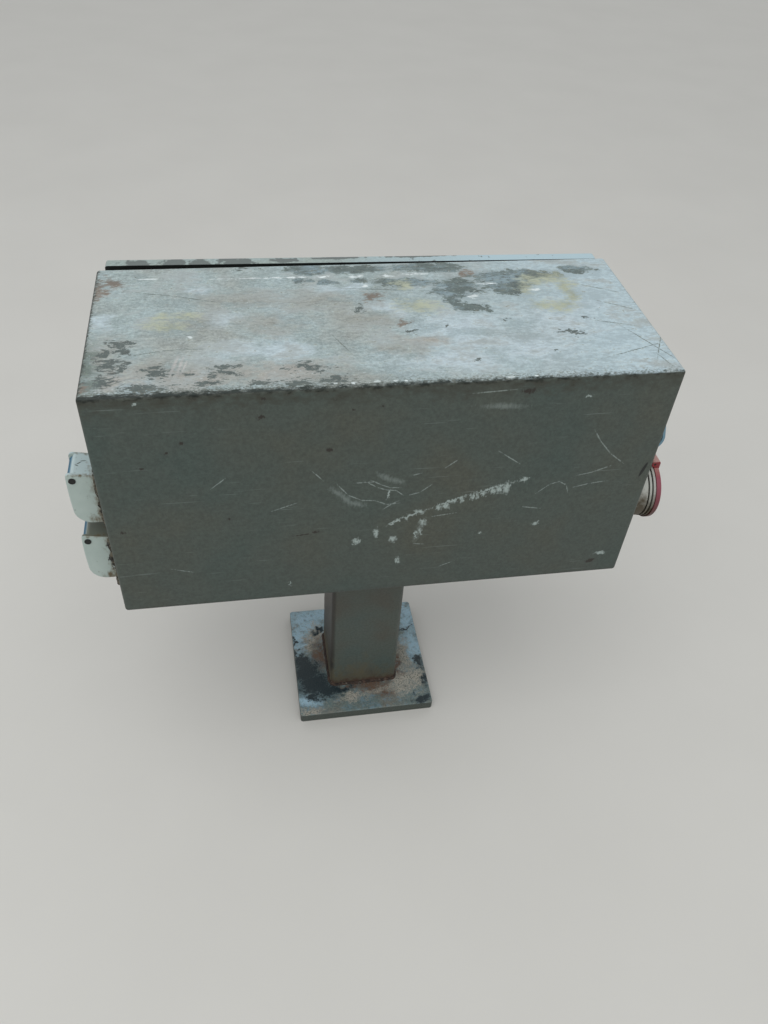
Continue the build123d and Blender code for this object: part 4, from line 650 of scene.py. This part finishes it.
# Painted shade: the lower outlet's top lies under the upper one and is painted dark, partly shade and
# partly dirt.
low_top_shade_and_dirt = put(tree, "ShaderNodeMath", {0: split.outputs["Z"], 1: shade_and_dirt_below}, operation="LESS_THAN")
low_top_shade_and_dirt = put(tree, "ShaderNodeMath", {0: low_top_shade_and_dirt, 1: is_up}, operation="MULTIPLY")
shade = coat(tree, shade, [(is_up, "#B1C2C3"), (low_top_shade_and_dirt, "#676C61"), (grime, "#6E6450"),
                           (stained, "#63573F"), (tarred, "#1C1A17"), (hair, "#4F5652")])
close_clouded(tree, mm, shade, clouds, smooth=0.42, rough=0.62, pores_per_mm=1.2, detail=4, depth=0.06)
dress(["upper_outlet_housing", "lower_outlet_housing", "far_outlet_housing"], pale_abs)

# The outlets' flaps: blue ABS visors. The upper side is nearly white, partly bleached by the sun
# and partly a painted sky reflection, and only the part that turns down over the front keeps its blue.
blue_abs, tree, mm, clouds, shade = clouded("bleached_and_sheen_blue_abs", 0.08, 4, "#114C64", "#206480")
split = put(tree, "ShaderNodeSeparateXYZ", {"Vector": mm})
out_of_wall = put(tree, "ShaderNodeMath", {0: split.outputs["X"], 1: 0}, operation="ABSOLUTE")
# Painted sky reflection: the flaps' upward faces are painted nearly white, partly sun-bleaching and partly
# a reflection of the sky.
bleach_and_sky_sheen = put(tree, "ShaderNodeMapRange", {"Value": out_of_wall, "From Min": 336.6, "From Max": 334.0})
is_up = facing(tree, "Z", 0.3, 0.7)
bleach_and_sky_sheen = put(tree, "ShaderNodeMath", {0: bleach_and_sky_sheen, 1: is_up}, operation="MULTIPLY")
# Painted shade: the lower flap's pale top is painted dark, partly the shade under the upper outlet and
# partly dirt.
low_top_shade_and_dirt = put(tree, "ShaderNodeMath", {0: split.outputs["Z"], 1: shade_and_dirt_below}, operation="LESS_THAN")
low_top_shade_and_dirt = put(tree, "ShaderNodeMath", {0: low_top_shade_and_dirt, 1: bleach_and_sky_sheen}, operation="MULTIPLY")
# Painted light: the far flap is painted paler blue all over, partly as the side facing the light and partly
# as sun-bleaching.
far_flap_lit_and_bleached = fade(tree, mm, "X", -300, -310, 0, 0.8)
shade = coat(tree, shade, [(far_flap_lit_and_bleached, "#7FA3B4"), (bleach_and_sky_sheen, "#B4C7D0"), (low_top_shade_and_dirt, "#6A7068")])
close_clouded(tree, mm, shade, clouds, smooth=0.36, rough=0.55, pores_per_mm=1.2, detail=4, depth=0.05)
dress(["upper_outlet_flap", "lower_outlet_flap", "far_outlet_flap"], blue_abs)

# Contact blocks and carrier, toggles, bar feet, inlet terminals, the gland and its nut: dark
# moulded nylon with the fine grain of a spark-eroded mould, paler where dust lies on it.
dark_nylon, tree, mm, clouds, shade = clouded("dark_moulded_nylon", 0.06, 4, "#17191A", "#2E302F")
close_clouded(tree, mm, shade, clouds, smooth=0.4, rough=0.65, pores_per_mm=0.8, detail=4, depth=0.08)
dress(["contact_blocks", "contact_carrier", "cable_gland", "gland_nut", "rcd_toggle",
       "socket_breaker_toggle", "outlet_breaker_toggle_1", "outlet_breaker_toggle_2",
       "outlet_breaker_toggle_3", "bar_feet", "inlet_terminals"], dark_nylon)

# The pins of the outlets and of the socket's lid: black nylon, turned and pressed in. Only
# their round heads are in sight, as plain black dots on the cheeks.
black_nylon, tree, mm, clouds, shade = clouded("black_nylon_pin", 0.7, 3, "#050606", "#101312")
close_clouded(tree, mm, shade, clouds, smooth=0.45, rough=0.7, pores_per_mm=0.7, detail=3, depth=0.05)
dress(["outlet_pins", "socket_pin"], black_nylon)

# Gaskets of black rubber behind every outlet and the socket, with a line of filler smeared
# round each outlet by hand. It has cracked, gone brown and caught dirt.
old_filler, tree, mm = new_finish("cracked_brown_filler")
cracks = put(tree, "ShaderNodeTexNoise", {"Vector": mm, "Scale": 0.22, "Detail": 7, "Roughness": 0.7})
dried = put(tree, "ShaderNodeMapRange", {"Value": cracks, "From Min": 0.42, "From Max": 0.58})
shade = put(tree, "ShaderNodeMixRGB", {"Fac": dried, "Color1": tone("#1B1914"), "Color2": tone("#666052")})
rough = put(tree, "ShaderNodeMapRange", {"Value": cracks, "To Min": 0.75, "To Max": 0.95})
close_finish(tree, shade, rough, cracks, 0.8)
dress(["wall_seals"], old_filler)

smear_x, smear_width, smear_radius = 0.3085, 0.041, 0.0042
smear_lumps = bpy.data.textures.new("smear_lumps", "CLOUDS")
smear_lumps.noise_scale = 0.009
smear_lumps.noise_depth = 3
for name, side, y_mid, z_mid, tall in (("upper", 1, 0.077, 0.4691, 0.071),
                                       ("lower", 1, 0.077, 0.3750, 0.079),
                                       ("far", -1, 0.047, 0.4936, 0.071)):
    bpy.ops.object.select_all(action="DESELECT")
    bpy.ops.mesh.primitive_plane_add(size=1, location=(side * smear_x, y_mid, z_mid),
                                     rotation=(0, math.radians(90), 0))
    bpy.context.object.name = f"{name}_filler"
    bpy.context.object.scale = (tall, smear_width, 1)
    bpy.ops.object.transform_apply(location=True, rotation=True, scale=True)
    smear = ring_tube(corner=0.004, rounds=3, cuts=8, radius=smear_radius, facets=3)
    fuse_lumps(smear, voxel=0.001, texture=smear_lumps, strength=0.008, middle=0.6)
    smear.data.materials.append(old_filler)
    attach(smear, "cabinet")

# The round industrial socket's body: light grey polyamide, moulded with two deep grooves for
# the lid's seat. Rain has washed brown dirt round to its underside and into the grooves, and
# the underside is also painted darker as the shade beneath the body.
socket_y, socket_z = 66.5, 407.5
groove_x, groove_half, groove_floor = (-330, -334.6), 1.2, 37.2
grey_nylon, tree, mm, clouds, shade = clouded("dirty_grey_polyamide", 0.06, 5, "#A9AAA0", "#C5C6C0")
split = put(tree, "ShaderNodeSeparateXYZ", {"Vector": mm})
axis_y = put(tree, "ShaderNodeMath", {0: split.outputs["Y"], 1: socket_y}, operation="SUBTRACT")
axis_z = put(tree, "ShaderNodeMath", {0: split.outputs["Z"], 1: socket_z}, operation="SUBTRACT")
axis = put(tree, "ShaderNodeCombineXYZ", {"X": axis_y, "Y": axis_z})
radius = put(tree, "ShaderNodeVectorMath", {0: axis}, operation="LENGTH")
groove, groove_2 = [put(tree, "ShaderNodeMath", {0: split.outputs["X"], 1: x, 2: groove_half},
                        operation="COMPARE") for x in groove_x]
groove = put(tree, "ShaderNodeMath", {0: groove, 1: groove_2}, operation="MAXIMUM")
sunk = put(tree, "ShaderNodeMath", {0: radius.outputs["Value"], 1: groove_floor}, operation="LESS_THAN")
groove = put(tree, "ShaderNodeMath", {0: groove, 1: sunk}, operation="MULTIPLY")
# Painted shade: the underside turns brown and dark, partly washed-down dirt and partly the shade under the
# round body.
under_dirt_and_shade = fade(tree, mm, "Z", 438, 392)
under_dirt_and_shade = flakes(tree, under_dirt_and_shade, grain(tree, mm, 12), 0.8, 0.64, 1.1)
shade = coat(tree, shade, [(under_dirt_and_shade, "#4A4231"), (groove, "#33312A")])
close_clouded(tree, mm, shade, clouds, smooth=0.42, rough=0.66, pores_per_mm=1.1, detail=4, depth=0.06)
dress(["socket_body", "socket_collar"], grey_nylon)

# The socket's lid: red polyamide, sprung shut on a steel pin. The hinge block's top is pale pink,
# partly turned by the sun and partly a painted sunlit highlight, and the lower half of the rim is
# dark, partly with damp dirt and partly painted shade.
red_nylon, tree, mm, clouds, shade = clouded("faded_red_polyamide", 0.07, 4, "#86394A", "#96505E")
# Painted highlight: the hinge block's upward faces are painted pale pink, partly sun-fading and partly the
# sunlit top.
is_up = facing(tree, "Z", 0.45, 0.9)
tall = fade(tree, mm, "Z", 440, 452)
pink_bleach_and_sunlit_top = put(tree, "ShaderNodeMath", {0: is_up, 1: tall}, operation="MULTIPLY")
# Painted shade: the rim darkens towards its lower half, partly damp dirt and partly the shade under it.
damp_dirt_and_shade = fade(tree, mm, "Z", 436, 394)
knuckle = fade(tree, mm, "Z", 438, 444)
shade = coat(tree, shade, [(damp_dirt_and_shade, "#4D241F"), (knuckle, "#84262C"), (pink_bleach_and_sunlit_top, "#BC9089")])
close_clouded(tree, mm, shade, clouds, smooth=0.34, rough=0.55, pores_per_mm=1.1, detail=4, depth=0.05)
dress(["socket_lid"], red_nylon)

# Inside: breakers and residual current device in light grey moulded plastic, with the dust
# that gets past the door.
device_grey, tree, mm, clouds, shade = clouded("light_grey_device_plastic", 0.04, 5, "#C3C2B9", "#D5D4CD")
close_clouded(tree, mm, shade, clouds, smooth=0.38, rough=0.6, pores_per_mm=1.4, detail=3, depth=0.05)
dress(["residual_current_device", "socket_breaker", "outlet_breaker_1", "outlet_breaker_2",
       "outlet_breaker_3"], device_grey)

# The touch guard: a steel sheet with a darker grey powder coat, dusty, and the test button in
# the yellow moulding that such buttons have.
for name, clean, dusty, pores_per_mm, names in (
        ("grey_powder_coat", "#9C9E9A", "#ABABA4", 0.9, ["touch_guard"]),
        ("yellow_button_plastic", "#B08C2E", "#BD9A3D", 0.3, ["test_button"])):
    covering, tree, mm, clouds, shade = clouded(name, 0.03, 6, clean, dusty)
    close_clouded(tree, mm, shade, clouds, smooth=0.45, rough=0.65, pores_per_mm=pores_per_mm, detail=3,
                  depth=0.06)
    dress(names, covering)

# Brass: the neutral and earth bars and the socket's sleeves, drawn and drilled, with a brown
# bloom. The comb busbar is punched copper strip, darker than the brass.
for name, fresh, bloomed, names in (
        ("bloomed_brass", "#B5955A", "#8A7348", ["neutral_bar", "earth_bar", "contact_sleeves"]),
        ("bloomed_copper", "#B0714E", "#7E5340", ["comb_busbar"])):
    metal_bar, tree, mm = new_finish(name)
    drawn = put(tree, "ShaderNodeVectorMath", {0: mm, 1: (0.1, 1, 1)}, operation="MULTIPLY")
    lines = put(tree, "ShaderNodeTexNoise", {"Vector": drawn, "Scale": 0.8, "Detail": 4})
    shade = put(tree, "ShaderNodeMixRGB", {"Fac": lines, "Color1": tone(fresh), "Color2": tone(bloomed)})
    rough = put(tree, "ShaderNodeMapRange", {"Value": lines, "To Min": 0.28, "To Max": 0.5})
    close_finish(tree, shade, rough, lines, 0.03, metal=1.0)
    dress(names, metal_bar)

# The floor: plain pale ground under soft, even light, as under a white sky, so that every
# colour comes out as it is written and the board keeps its faint shadow.
bpy.ops.object.select_all(action="DESELECT")
bpy.ops.mesh.primitive_plane_add(size=16, location=(0, 0, -0.0002))
floor = bpy.context.object
floor.name = "floor"
pale_floor, tree, mm, clouds, shade = clouded("pale_floor", 0.004, 5, "#CBC9C3", "#D3D1CB")
close_clouded(tree, mm, shade, clouds, smooth=0.8, rough=0.95, pores_per_mm=0.004, detail=5, depth=0.3)
floor.data.materials.append(pale_floor)

bpy.ops.object.light_add(type="AREA", location=(0.5, 0.9, 2.8))
softbox = bpy.context.object
softbox.data.shape = "DISK"
softbox.data.size = 3.2
softbox.data.energy = 34
softbox.rotation_euler = (Vector((0, 0, 0.4)) - softbox.location).to_track_quat("-Z", "Y").to_euler()

sky = bpy.data.worlds.new("white_sky")
sky.use_nodes = True
bpy.context.scene.world = sky
tree = sky.node_tree
lit = tree.nodes["Background"]
lit.inputs["Color"].default_value = tone("#F4F7FA")
lit.inputs["Strength"].default_value = 0.72
seen = put(tree, "ShaderNodeBackground", {"Color": tone("#E4E3DF"), "Strength": 1})
rays = put(tree, "ShaderNodeLightPath")
mirrored = put(tree, "ShaderNodeMath", {0: rays.outputs["Is Glossy Ray"],
                                        1: rays.outputs["Is Transmission Ray"]}, operation="MAXIMUM")
looked = put(tree, "ShaderNodeMath", {0: mirrored, 1: rays.outputs["Is Camera Ray"]}, operation="MAXIMUM")
mixed = put(tree, "ShaderNodeMixShader", {0: looked, 1: lit, 2: seen})
tree.links.new(mixed.outputs[0], tree.nodes["World Output"].inputs["Surface"])
bpy.context.scene.view_settings.view_transform = "Standard"
